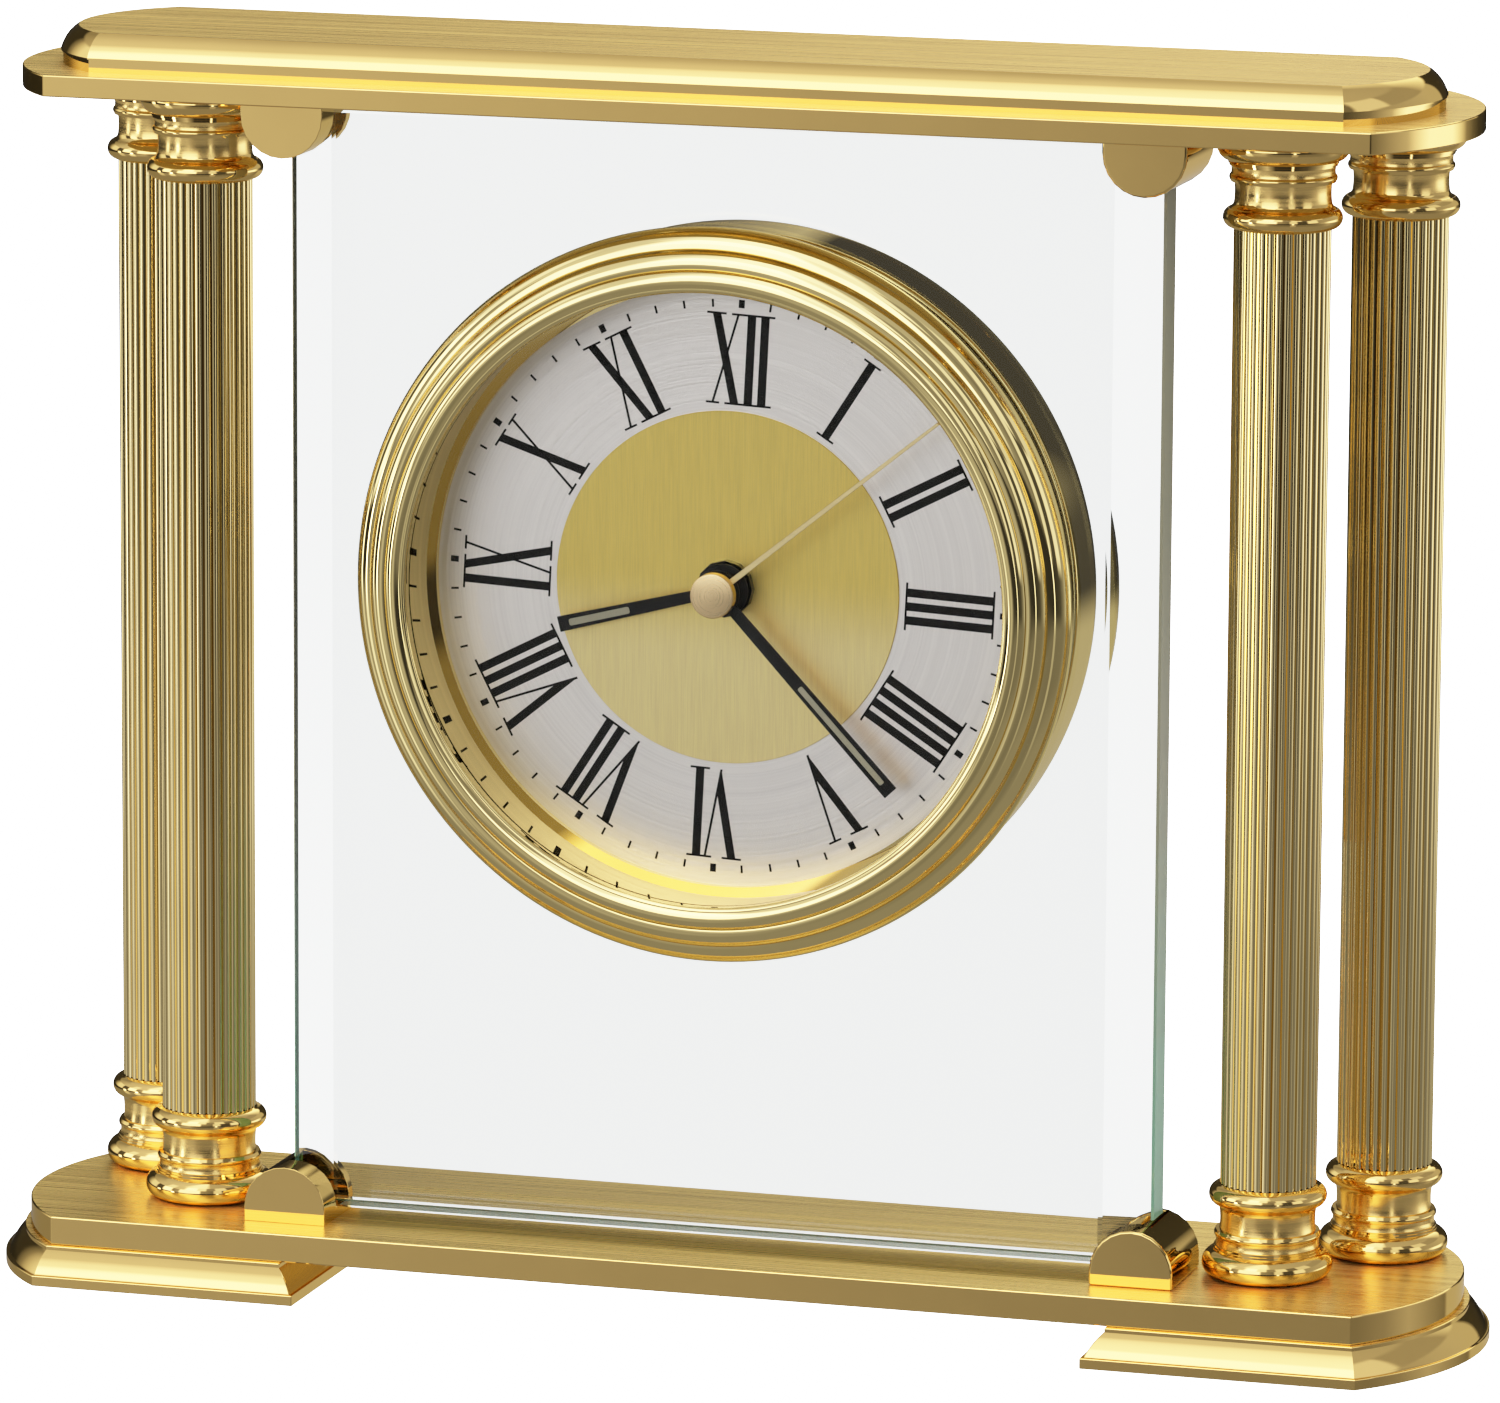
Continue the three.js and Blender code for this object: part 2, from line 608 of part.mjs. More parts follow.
function buildGlass() {
  const rectangle = (inset) => [
    new THREE.Vector2(-glassHalf + inset, glassBottom),
    new THREE.Vector2(glassHalf - inset, glassBottom),
    new THREE.Vector2(glassHalf - inset, glassTop),
    new THREE.Vector2(-glassHalf + inset, glassTop),
  ];
  const depths = [glassFront, glassFront + BEVEL_DEPTH, glassBack];
  const rings = [rectangle(BEVEL_WIDTH), rectangle(0), rectangle(0)];
  const panel = loft(rings, (point, level) => new THREE.Vector3(point.x, depths[level], point.y));
  const hole = deepRod(holeRadius, glassFront - OVERCUT, glassBack + OVERCUT, 0, headZ, HEAD_SEGMENTS);
  addPiece('glass_panel', cut(panel, hole), 'glass');
}

function clipOutline() {
  const radius = CLIP_WIDTH / 2;
  const spring = CLIP_HEIGHT - radius;
  const arc = Array.from({ length: CLIP_ARC_STEPS + 1 }, (_, i) => {
    const angle = (Math.PI * i) / CLIP_ARC_STEPS;
    return new THREE.Vector2(radius * Math.cos(angle), spring + radius * Math.sin(angle));
  });
  return [new THREE.Vector2(radius, 0), ...arc, new THREE.Vector2(-radius, 0)];
}

function buildClips() {
  const outline = clipOutline();
  const slotSide = glassHalf + CLEARANCE;
  [['lower', 1, baseTop], ['upper', -1, topBottom]].forEach(([level, up, seat]) => {
    const points = outline.map((point) => new THREE.Vector2(point.x, up * point.y));
    const headFace = up > 0 ? baseBottom + headPocket : topTop - headPocket;
    const heights = [
      headFace - up * SCREW_HEAD_HEIGHT,
      headFace,
      seat + up * SCREW_REACH,
    ];
    [['left', -1], ['right', 1]].forEach(([side, sign]) => {
      const x = sign * clipX;
      const slotEdges = [sign * slotSide, sign * (clipX - CLIP_WIDTH)].sort((a, b) => a - b);
      const floor = up > 0 ? glassBottom : glassTop + CLEARANCE;
      const slotHeights = [floor, seat + up * (CLIP_HEIGHT + OVERCUT)].sort((a, b) => a - b);
      const slot = block(...slotEdges, slotFront, slotBack, ...slotHeights);
      const tap = [seat - up * OVERCUT, seat + up * (SCREW_REACH + CLEARANCE)].sort((a, b) => a - b);
      const body = frontSlab(points, clipFront, clipBack, x, seat);
      const clip = cut(body, slot, uprightRod(screwHole, ...tap, x, screwY));
      addPiece(`${level}_${side}_glass_clip`, clip, 'brass');
      const screw = turnedUpright([
        [0, heights[0]],
        [SCREW_HEAD_RADIUS, heights[0]],
        [SCREW_HEAD_RADIUS, heights[1]],
        [SCREW_RADIUS, heights[1]],
        [SCREW_RADIUS, heights[2]],
        [0, heights[2]],
      ], BOLT_SEGMENTS, x, screwY);
      addPiece(`${level}_${side}_clip_screw`, screw, 'steel');
    });
  });
}

// Bezel, crystal, dial and drum

// Points of one rounded reed from a start corner, stepping inwards and forwards.
function reedPoints([radius, depth], width, rise) {
  const length = Math.hypot(width, rise);
  return [1 / 3, 2 / 3, 1].map((share) => {
    const lift = REED_BULGE * Math.sin(Math.PI * share);
    return [radius - width * share + lift * (rise / length), depth - rise * share - lift * (width / length)];
  });
}

function buildBezel() {
  const start = [bezelRadius, glassFront - BEZEL_FLANGE];
  const profile = [
    [bezelRadius - REED_BULGE, glassFront],
    [bezelRadius, glassFront - BEZEL_FLANGE / 2],
    start,
  ];
  let corner = start;
  [OUTER_REED_RISE, MIDDLE_REED_RISE, INNER_REED_RISE].forEach((rise) => {
    profile.push(...reedPoints(corner, REED_WIDTH, rise));
    corner = profile.at(-1);
  });
  profile.push(
    [lipRadius, lipFront + LIP_WIDTH / 2],
    [lipRadius, lipBack],
    [boreRadius, lipBack],
    [boreRadius, neckEnd],
    [neckRadius, neckEnd],
    [neckRadius, glassFront],
    profile[0],
  );
  addPiece('bezel', turnedDeep(profile, HEAD_SEGMENTS), 'brass');
}

function buildDial() {
  const ring = (inner, outer, from, to) => turnedDeep(ringProfile(inner, outer, from, to), HEAD_SEGMENTS);
  addPiece('crystal', deepRod(insertRadius, lipBack, crystalBack, 0, headZ, HEAD_SEGMENTS), 'glass');
  addPiece('reflector_ring', ring(wallRadius, insertRadius, crystalBack, wallBack), 'brass');
  addPiece('dial_ring', ring(dialRadius, insertRadius, wallBack, dialFront), 'brass');
  addPiece('dial_plate', ring(dialHoleRadius, insertRadius, dialFront, dialBack), 'silver');
  const centreFront = dialFront - DIAL_CENTRE_THICKNESS;
  addPiece('dial_centre', ring(dialHoleRadius, centreRadius, centreFront, dialFront), 'brushedBrass');
  const retainerBack = dialBack + RETAINER_THICKNESS;
  const retainerBore = insertRadius - RETAINER_WIDTH;
  addPiece('retaining_ring', ring(retainerBore, insertRadius, dialBack, retainerBack), 'steel');
  const nutRadius = dialHoleRadius + NUT_WALL;
  const nut = ringProfile(dialHoleRadius, nutRadius, centreFront - NUT_THICKNESS, centreFront);
  addPiece('centre_nut', turnedDeep(nut, ARBOR_SEGMENTS), 'steel');
}

// Points along the rounded back edge, or along the inside of its wall, from one depth to another.
function backRound(radius, from, to) {
  const start = Math.asin((from - roundFront) / radius);
  const end = Math.asin((to - roundFront) / radius);
  return Array.from({ length: ROUND_STEPS + 1 }, (_, i) => {
    const angle = THREE.MathUtils.lerp(start, end, i / ROUND_STEPS);
    return [flatRadius + radius * Math.cos(angle), roundFront + radius * Math.sin(angle)];
  });
}

const drumInside = backRound(DRUM_ROUND - DRUM_WALL, drumBack, roundFront);

function buildDrum() {
  const webBore = neckRadius + CLEARANCE;
  const [inside] = drumInside.at(-1);
  addPiece('rear_gasket', turnedDeep(
    ringProfile(holeRadius + CLEARANCE, DRUM_RADIUS - DRUM_EDGE, glassBack, drumFront),
    HEAD_SEGMENTS,
  ), 'rubber');
  const drum = turnedDeep([
    [webBore, drumFront],
    [DRUM_RADIUS - DRUM_EDGE, drumFront],
    [DRUM_RADIUS, drumFront + DRUM_EDGE],
    ...backRound(DRUM_ROUND, roundFront, drumBack),
    ...drumInside,
    [inside, drumFront + DRUM_WEB],
    [webBore, drumFront + DRUM_WEB],
    [webBore, drumFront],
  ], HEAD_SEGMENTS);
  addPiece('drum', drum, 'brass');
}

// Hands

// Tapering hand that points up from the dial's centre, with a round hub.
function handOutline(hub, root, tip, length) {
  const start = Math.asin(root / 2 / hub);
  const steps = 14;
  const round = Array.from({ length: steps + 1 }, (_, i) => {
    const angle = start + (2 * Math.PI - 2 * start) * (i / steps);
    return new THREE.Vector2(hub * Math.sin(angle), hub * Math.cos(angle));
  });
  return [...round, new THREE.Vector2(-tip / 2, length), new THREE.Vector2(tip / 2, length)];
}

function turnedOutline(points, clockwise) {
  const centre = new THREE.Vector2();
  return points.map((point) => point.clone().rotateAround(centre, -THREE.MathUtils.degToRad(clockwise)));
}

function hand(outline, angle, rise, bore) {
  const back = dialFront - rise;
  const plate = frontSlab(turnedOutline(outline, angle), back - HAND_THICKNESS, back, 0, headZ);
  return cut(plate, deepRod(bore, back - HAND_THICKNESS - OVERCUT, back + OVERCUT, 0, headZ));
}

const handSeat = RUNNING_GAP / 2;
const hourPipeEnd = dialFront - HOUR_HAND_RISE - HAND_THICKNESS;
const minutePipeEnd = dialFront - MINUTE_HAND_RISE - HAND_THICKNESS;
const capDiscFront = dialFront - SECOND_HAND_RISE - CAP_DISC_THICKNESS;
const secondArborEnd = capDiscFront + CAP_DISC_THICKNESS / 2;

function buildHands() {
  const hourLength = centreRadius - HOUR_HAND_SHORT;
  const minuteLength = dialRadius - MINUTE_HAND_SHORT;
  const secondLength = dialRadius - SECOND_HAND_SHORT;
  const hour = handOutline(HOUR_HUB_RADIUS, HAND_ROOT_WIDTH, HAND_TIP_WIDTH, hourLength);
  addPiece('hour_hand', hand(hour, HOUR_ANGLE, HOUR_HAND_RISE, hourPipeRadius + handSeat), 'black');
  const minute = handOutline(MINUTE_HUB_RADIUS, HAND_ROOT_WIDTH, HAND_TIP_WIDTH, minuteLength);
  addPiece('minute_hand', hand(minute, MINUTE_ANGLE, MINUTE_HAND_RISE, minutePipeRadius + handSeat), 'black');
  const second = handOutline(CAP_DISC_RADIUS, SECOND_ROOT_WIDTH, SECOND_TIP_WIDTH, secondLength);
  const back = dialFront - SECOND_HAND_RISE;
  const blade = frontSlab(turnedOutline(second, SECOND_ANGLE), back - HAND_THICKNESS, back, 0, headZ);
  const disc = deepRod(CAP_DISC_RADIUS, capDiscFront, back, 0, headZ, 18);
  const socket = deepRod(SECOND_ARBOR_RADIUS + handSeat, secondArborEnd - handSeat, back + OVERCUT, 0, headZ);
  addPiece('second_hand', cut(join(blade, disc), socket), 'brass');
}

// Movement: case, train, motion works, motor and battery

const caseFront = dialBack;
const caseBack = dialBack + MOVEMENT_THICKNESS;
const caseInside = caseFront + MOVEMENT_WALL;
const coverInside = caseBack - MOVEMENT_WALL;
const caseHalf = MOVEMENT_SIZE / 2;
const batteryZ = headZ - caseHalf + MOVEMENT_WALL + CLEARANCE + BATTERY_RADIUS;
const dividerTop = batteryZ + BATTERY_RADIUS + CLEARANCE + MOVEMENT_WALL;
const arborFront = caseInside + CLEARANCE;
const arborBack = coverInside - CLEARANCE;

// Depth at which each layer of wheels starts, from the front of the case
const layerStep = WHEEL_THICKNESS + LAYER_GAP;
const layer = (number) => caseInside + CLEARANCE + LAYER_GAP / 2 + number * layerStep;

// Wheel with pointed teeth, just clear of the wheel that it works with.
function toothed(teeth, pitchRadius, from, to, x, z) {
  const tip = pitchRadius - RUNNING_GAP / 2;
  const root = tip - Math.min(TOOTH_DEPTH, tip / 4);
  const points = Array.from({ length: 2 * teeth }, (_, i) => {
    const radius = i % 2 ? root : tip;
    const angle = (Math.PI * i) / teeth;
    return new THREE.Vector2(radius * Math.cos(angle), radius * Math.sin(angle));
  });
  return frontSlab(points, from, to, x, z);
}

// Pitch radii of two wheels that share a centre distance.
function pitchRadii(distance, teeth, otherTeeth) {
  const first = (distance * teeth) / (teeth + otherTeeth);
  return [first, distance - first];
}

const [cannonPitch, motionPitch] = pitchRadii(MOTION_DISTANCE, CANNON_TEETH, MOTION_TEETH);
const [motionPinionPitch, hourPitch] = pitchRadii(MOTION_DISTANCE, MOTION_PINION_TEETH, HOUR_TEETH);
const [thirdPinionPitch, centrePitch] = pitchRadii(THIRD_DISTANCE, SMALL_PINION_TEETH, CENTRE_TEETH);
const [secondPinionPitch, thirdPitch] = pitchRadii(THIRD_DISTANCE, SMALL_PINION_TEETH, THIRD_TEETH);
const [middlePinionPitch, secondPitch] = pitchRadii(INTERMEDIATE_DISTANCE, SMALL_PINION_TEETH, SECOND_TEETH);
const [rotorPinionPitch, middlePitch] = pitchRadii(ROTOR_DISTANCE, SMALL_PINION_TEETH, INTERMEDIATE_TEETH);

const [motionX, motionUp] = polar(MOTION_DISTANCE, MOTION_DIRECTION);
const motionZ = headZ + motionUp;
const knobX = 2 * motionX;
const knobZ = headZ + 2 * motionUp;
const [thirdX, thirdUp] = polar(THIRD_DISTANCE, THIRD_DIRECTION);
const thirdZ = headZ + thirdUp;
const [middleX, middleUp] = polar(INTERMEDIATE_DISTANCE, INTERMEDIATE_DIRECTION);
const middleZ = headZ + middleUp;
const [rotorStepX, rotorStepUp] = polar(ROTOR_DISTANCE, ROTOR_DIRECTION);
const rotorX = middleX + rotorStepX;
const rotorZ = middleZ + rotorStepUp;

function buildTrain() {
  const end = (number) => layer(number) + WHEEL_THICKNESS;
  const pipe = (inner, outer, from, to) => turnedDeep(ringProfile(inner, outer, from, to), ARBOR_SEGMENTS);
  const hourBlank = toothed(HOUR_TEETH, hourPitch, layer(0), end(0), 0, headZ);
  const hourBore = deepRod(hourPipeBore, layer(0) - OVERCUT, end(0) + OVERCUT, 0, headZ);
  const hourPipe = pipe(hourPipeBore, hourPipeRadius, hourPipeEnd, end(0));
  addPiece('hour_wheel', join(cut(hourBlank, hourBore), hourPipe), 'brass');
  const minuteWheels = join(
    toothed(CANNON_TEETH, cannonPitch, layer(1), layer(2), 0, headZ),
    toothed(CENTRE_TEETH, centrePitch, layer(2), end(2), 0, headZ),
  );
  const minuteBore = deepRod(minutePipeBore, layer(1) - OVERCUT, end(2) + OVERCUT, 0, headZ);
  const minutePipe = pipe(minutePipeBore, minutePipeRadius, minutePipeEnd, end(2));
  addPiece('minute_wheel', join(cut(minuteWheels, minuteBore), minutePipe), 'brass');
  const motion = join(
    toothed(MOTION_PINION_TEETH, motionPinionPitch, layer(0), layer(1), motionX, motionZ),
    toothed(MOTION_TEETH, motionPitch, layer(1), end(1), motionX, motionZ),
    deepRod(SECOND_ARBOR_RADIUS, arborFront, arborBack, motionX, motionZ),
  );
  addPiece('motion_wheel', motion, 'whitePlastic');
  const third = join(
    toothed(SMALL_PINION_TEETH, thirdPinionPitch, layer(2), layer(3), thirdX, thirdZ),
    toothed(THIRD_TEETH, thirdPitch, layer(3), end(3), thirdX, thirdZ),
    deepRod(SECOND_ARBOR_RADIUS, arborFront, arborBack, thirdX, thirdZ),
  );
  addPiece('third_wheel', third, 'whitePlastic');
  const second = join(
    toothed(SMALL_PINION_TEETH, secondPinionPitch, layer(3), layer(4), 0, headZ),
    toothed(SECOND_TEETH, secondPitch, layer(4), end(4), 0, headZ),
    deepRod(SECOND_ARBOR_RADIUS, secondArborEnd, arborBack, 0, headZ),
  );
  addPiece('second_wheel', second, 'brass');
  const middle = join(
    toothed(SMALL_PINION_TEETH, middlePinionPitch, layer(4), layer(5), middleX, middleZ),
    toothed(INTERMEDIATE_TEETH, middlePitch, layer(5), end(5), middleX, middleZ),
    deepRod(SECOND_ARBOR_RADIUS, arborFront, arborBack, middleX, middleZ),
  );
  addPiece('intermediate_wheel', middle, 'whitePlastic');
  const rotor = join(
    toothed(SMALL_PINION_TEETH, rotorPinionPitch, layer(5), layer(6), rotorX, rotorZ),
    deepRod(ROTOR_RADIUS, layer(6), layer(6) + ROTOR_THICKNESS, rotorX, rotorZ),
    deepRod(SECOND_ARBOR_RADIUS, arborFront, arborBack, rotorX, rotorZ),
  );
  addPiece('rotor', rotor, 'steel');
}

function buildMotor() {
  const statorBack = layer(6) + (ROTOR_THICKNESS + STATOR_THICKNESS) / 2;
  const statorFront = statorBack - STATOR_THICKNESS;
  const coilMiddle = (statorFront + statorBack) / 2;
  const top = headZ + caseHalf - MOVEMENT_WALL - CLEARANCE;
  const bottom = rotorZ - STATOR_WIDTH / 2;
  const left = rotorX - STATOR_WIDTH / 2;
  const right = left + STATOR_WIDTH + COIL_LENGTH;
  const coilZ = top - COIL_RADIUS;
  const plate = cut(
    block(left, rotorX + STATOR_WIDTH / 2, statorFront, statorBack, bottom, top),
    deepRod(ROTOR_RADIUS + CLEARANCE, statorFront - OVERCUT, statorBack + OVERCUT, rotorX, rotorZ),
  );
  const winding = new THREE.CylinderGeometry(COIL_RADIUS, COIL_RADIUS, COIL_LENGTH, ARBOR_SEGMENTS);
  winding.rotateZ(Math.PI / 2).translate(right - COIL_LENGTH / 2, coilMiddle, coilZ);
  addPiece('stepper_coil', join(plate, solidOf(winding)), 'copper');
  const boardLeft = caseHalf - MOVEMENT_WALL - CLEARANCE - BOARD_WIDTH;
  const boardFront = arborBack - BOARD_THICKNESS;
  const boardBottom = dividerTop + CLEARANCE;
  addPiece('circuit_board', block(
    boardLeft,
    boardLeft + BOARD_WIDTH,
    boardFront,
    boardFront + BOARD_THICKNESS,
    boardBottom,
    boardBottom + BOARD_HEIGHT,
  ), 'board');
}

function buildCase() {
  const inside = caseHalf - MOVEMENT_WALL;
  const bottom = headZ - caseHalf;
  const dividerBottom = dividerTop - MOVEMENT_WALL;
  const tray = cut(
    block(-caseHalf, caseHalf, caseFront, coverInside, bottom, headZ + caseHalf),
    block(-inside, inside, caseInside, coverInside + OVERCUT, dividerTop, headZ + inside),
    block(-inside, inside, caseInside, coverInside + OVERCUT, bottom + MOVEMENT_WALL, dividerBottom),
  );
  const bushFront = dialFront - BUSH_PROUD;
  const bush = deepRod(bushRadius, bushFront, caseInside, 0, headZ);
  const bore = deepRod(bushBore, bushFront - OVERCUT, caseInside + OVERCUT, 0, headZ);
  addPiece('movement_case', cut(join(tray, bush), bore), 'blackPlastic');
  const cover = cut(
    block(-caseHalf, caseHalf, coverInside, caseBack, dividerBottom, headZ + caseHalf),
    deepRod(KNOB_ARBOR_RADIUS + CLEARANCE, coverInside - OVERCUT, caseBack + OVERCUT, knobX, knobZ),
  );
  addPiece('movement_cover', cover, 'blackPlastic');
  const batteryY = caseInside + CLEARANCE + BATTERY_RADIUS;
  const half = BATTERY_LENGTH / 2;
  const cell = turnedGeometry([
    [0, -half],
    [BATTERY_RADIUS, -half],
    [BATTERY_RADIUS, half],
    [BATTERY_NUB_RADIUS, half],
    [BATTERY_NUB_RADIUS, half + BATTERY_NUB],
    [0, half + BATTERY_NUB],
  ], BATTERY_SEGMENTS);
  cell.rotateZ(-Math.PI / 2).translate(0, batteryY, batteryZ);
  addPiece('battery', solidOf(cell), 'battery');
}

// Rear cover, battery door and set knob

const doorBottom = batteryZ - DOOR_HEIGHT / 2;
const doorTop = doorBottom + DOOR_HEIGHT;
const pivotY = drumBack + COVER_THICKNESS / 2;
const pivotZ = doorBottom + COVER_THICKNESS / 2;

function sideRod(radius, from, to, y, z) {
  const rod = new THREE.CylinderGeometry(radius, radius, to - from, ARBOR_SEGMENTS);
  return solidOf(rod.rotateZ(Math.PI / 2).translate((from + to) / 2, y, z));
}

function buildRear() {
  const [mouth] = drumInside[0];
  const spigot = mouth - CLEARANCE;
  const cover = turnedDeep([
    [0, coverBack],
    ...backRound(DRUM_ROUND, coverBack, drumBack),
    [spigot, drumBack],
    [spigot, drumBack - COVER_SPIGOT],
    [spigot - COVER_SPIGOT_WALL, drumBack - COVER_SPIGOT],
    [spigot - COVER_SPIGOT_WALL, drumBack],
    [0, drumBack],
  ], HEAD_SEGMENTS);
  const windowHalf = DOOR_WIDTH / 2 + CLEARANCE;
  const swing = COVER_THICKNESS * Math.SQRT1_2 + CLEARANCE;
  const window = block(
    -windowHalf,
    windowHalf,
    drumBack - OVERCUT,
    coverBack + OVERCUT,
    pivotZ - swing,
    doorTop + CLEARANCE,
  );
  const pivotReach = DOOR_WIDTH / 2 + DOOR_PIVOT_LENGTH;
  const socketReach = pivotReach + CLEARANCE;
  const sockets = sideRod(DOOR_PIVOT_RADIUS + RUNNING_GAP, -socketReach, socketReach, pivotY, pivotZ);
  const knobBore = KNOB_ARBOR_RADIUS + CLEARANCE;
  const knobHole = deepRod(knobBore, drumBack - OVERCUT, coverBack + OVERCUT, knobX, knobZ);
  addPiece('rear_cover', cut(cover, window, sockets, knobHole), 'brushedBrass');
  const leaf = block(-DOOR_WIDTH / 2, DOOR_WIDTH / 2, drumBack, coverBack, doorBottom, doorTop);
  const tabHalf = DOOR_TAB_WIDTH / 2;
  const tabBack = coverBack + DOOR_TAB_HEIGHT;
  const tab = block(-tabHalf, tabHalf, pivotY, tabBack, doorTop - DOOR_TAB_HEIGHT, doorTop);
  const pivots = sideRod(DOOR_PIVOT_RADIUS, -pivotReach, pivotReach, pivotY, pivotZ);
  addPiece('battery_door', join(leaf, tab, pivots), 'brushedBrass');
  const knobFront = coverBack + KNOB_STANDOFF;
  const knob = join(
    toothed(CANNON_TEETH, cannonPitch, layer(1), layer(1) + WHEEL_THICKNESS, knobX, knobZ),
    deepRod(KNOB_ARBOR_RADIUS, arborFront, knobFront + OVERCUT, knobX, knobZ),
    toothed(KNOB_FACETS, KNOB_RADIUS, knobFront, knobFront + KNOB_LENGTH, knobX, knobZ),
  );
  addPiece('set_knob', knob, 'brass');
}

buildPlates();
buildCap();
buildFeet();
buildColumns();
buildGlass();
buildClips();
buildBezel();
buildDial();
buildHands();
buildDrum();
buildTrain();
buildMotor();
buildCase();
buildRear();

export default clock;
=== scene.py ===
"""Looks of a brass table clock: a glass panel between reeded columns carries a round head with a Roman dial.

Sizes are in millimetres until a piece is finished, x to the right, y to the back and z up from the floor.
"""

import logging
import math
from collections.abc import Iterable, Mapping, Sequence
from dataclasses import dataclass, field
from enum import Enum
from typing import Any

import bmesh
import bpy
from bmesh.types import BMEdge, BMesh, BMFace, BMVert
from mathutils import Matrix, Vector


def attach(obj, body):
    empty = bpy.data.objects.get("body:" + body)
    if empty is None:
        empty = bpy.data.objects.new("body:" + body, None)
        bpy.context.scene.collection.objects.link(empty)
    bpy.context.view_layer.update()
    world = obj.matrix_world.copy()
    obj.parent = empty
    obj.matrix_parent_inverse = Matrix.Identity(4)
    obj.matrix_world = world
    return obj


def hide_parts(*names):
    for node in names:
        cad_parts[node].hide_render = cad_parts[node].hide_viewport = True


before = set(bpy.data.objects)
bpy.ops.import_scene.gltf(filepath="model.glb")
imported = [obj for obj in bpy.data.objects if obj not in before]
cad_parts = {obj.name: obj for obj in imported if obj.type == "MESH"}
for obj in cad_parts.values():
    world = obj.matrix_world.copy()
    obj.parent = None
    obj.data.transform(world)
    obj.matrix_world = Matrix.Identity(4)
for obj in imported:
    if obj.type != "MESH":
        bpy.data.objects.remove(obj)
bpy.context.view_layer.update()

log = logging.getLogger("table_clock")

MM = 0.001
HEAD_HEIGHT = 121.1
STAND = "stand"
SHARP_ANGLE = math.radians(18)
TO_BACK = Matrix.Rotation(-math.pi / 2, 4, "X")
TO_FRONT = Matrix.Rotation(math.pi / 2, 4, "X")
HEAD_PLACE = Matrix.Translation((0, 0, HEAD_HEIGHT))

MERGE_DISTANCE = 1e-4
NODE_MERGE_DISTANCE = 1e-3
FLAT_ANGLE = math.radians(1)
FLAT_FACE_WEIGHT = 90
FLAT_ENOUGH = 0.98
FULL_TURN_STEPS = 192
SMALL_HOLE_STEPS = 24
GLASS_IOR = 1.5
NOISE_SPAN = (0.3, 0.7)

Pair = tuple[float, float]
Triple = tuple[float, float, float]
Colour = Triple
Levels = Sequence[Pair]
SocketKey = str | int


class Wire:
    """A shader socket that takes part in sums written as Python expressions."""

    def __init__(self, bench: "NodeBench", socket: bpy.types.NodeSocket) -> None:
        """Keep the socket and the bench it lies on."""
        self.bench = bench
        self.socket = socket

    def _sum(self, operation: str, first: Any, second: Any) -> "Wire":
        """Add one Math node."""
        return self.bench.node("ShaderNodeMath", {"operation": operation}, {0: first, 1: second})

    def __add__(self, other: Any) -> "Wire":
        """Add a value."""
        return self._sum("ADD", self, other)

    def __radd__(self, other: Any) -> "Wire":
        """Add to a value."""
        return self._sum("ADD", other, self)

    def __sub__(self, other: Any) -> "Wire":
        """Take a value away."""
        return self._sum("SUBTRACT", self, other)

    def __rsub__(self, other: Any) -> "Wire":
        """Take this away from a value."""
        return self._sum("SUBTRACT", other, self)

    def __mul__(self, other: Any) -> "Wire":
        """Multiply by a value."""
        return self._sum("MULTIPLY", self, other)

    def __rmul__(self, other: Any) -> "Wire":
        """Multiply a value."""
        return self._sum("MULTIPLY", other, self)

    def __truediv__(self, other: Any) -> "Wire":
        """Divide by a value."""
        return self._sum("DIVIDE", self, other)

    def __pow__(self, other: Any) -> "Wire":
        """Raise to a power."""
        return self._sum("POWER", self, other)


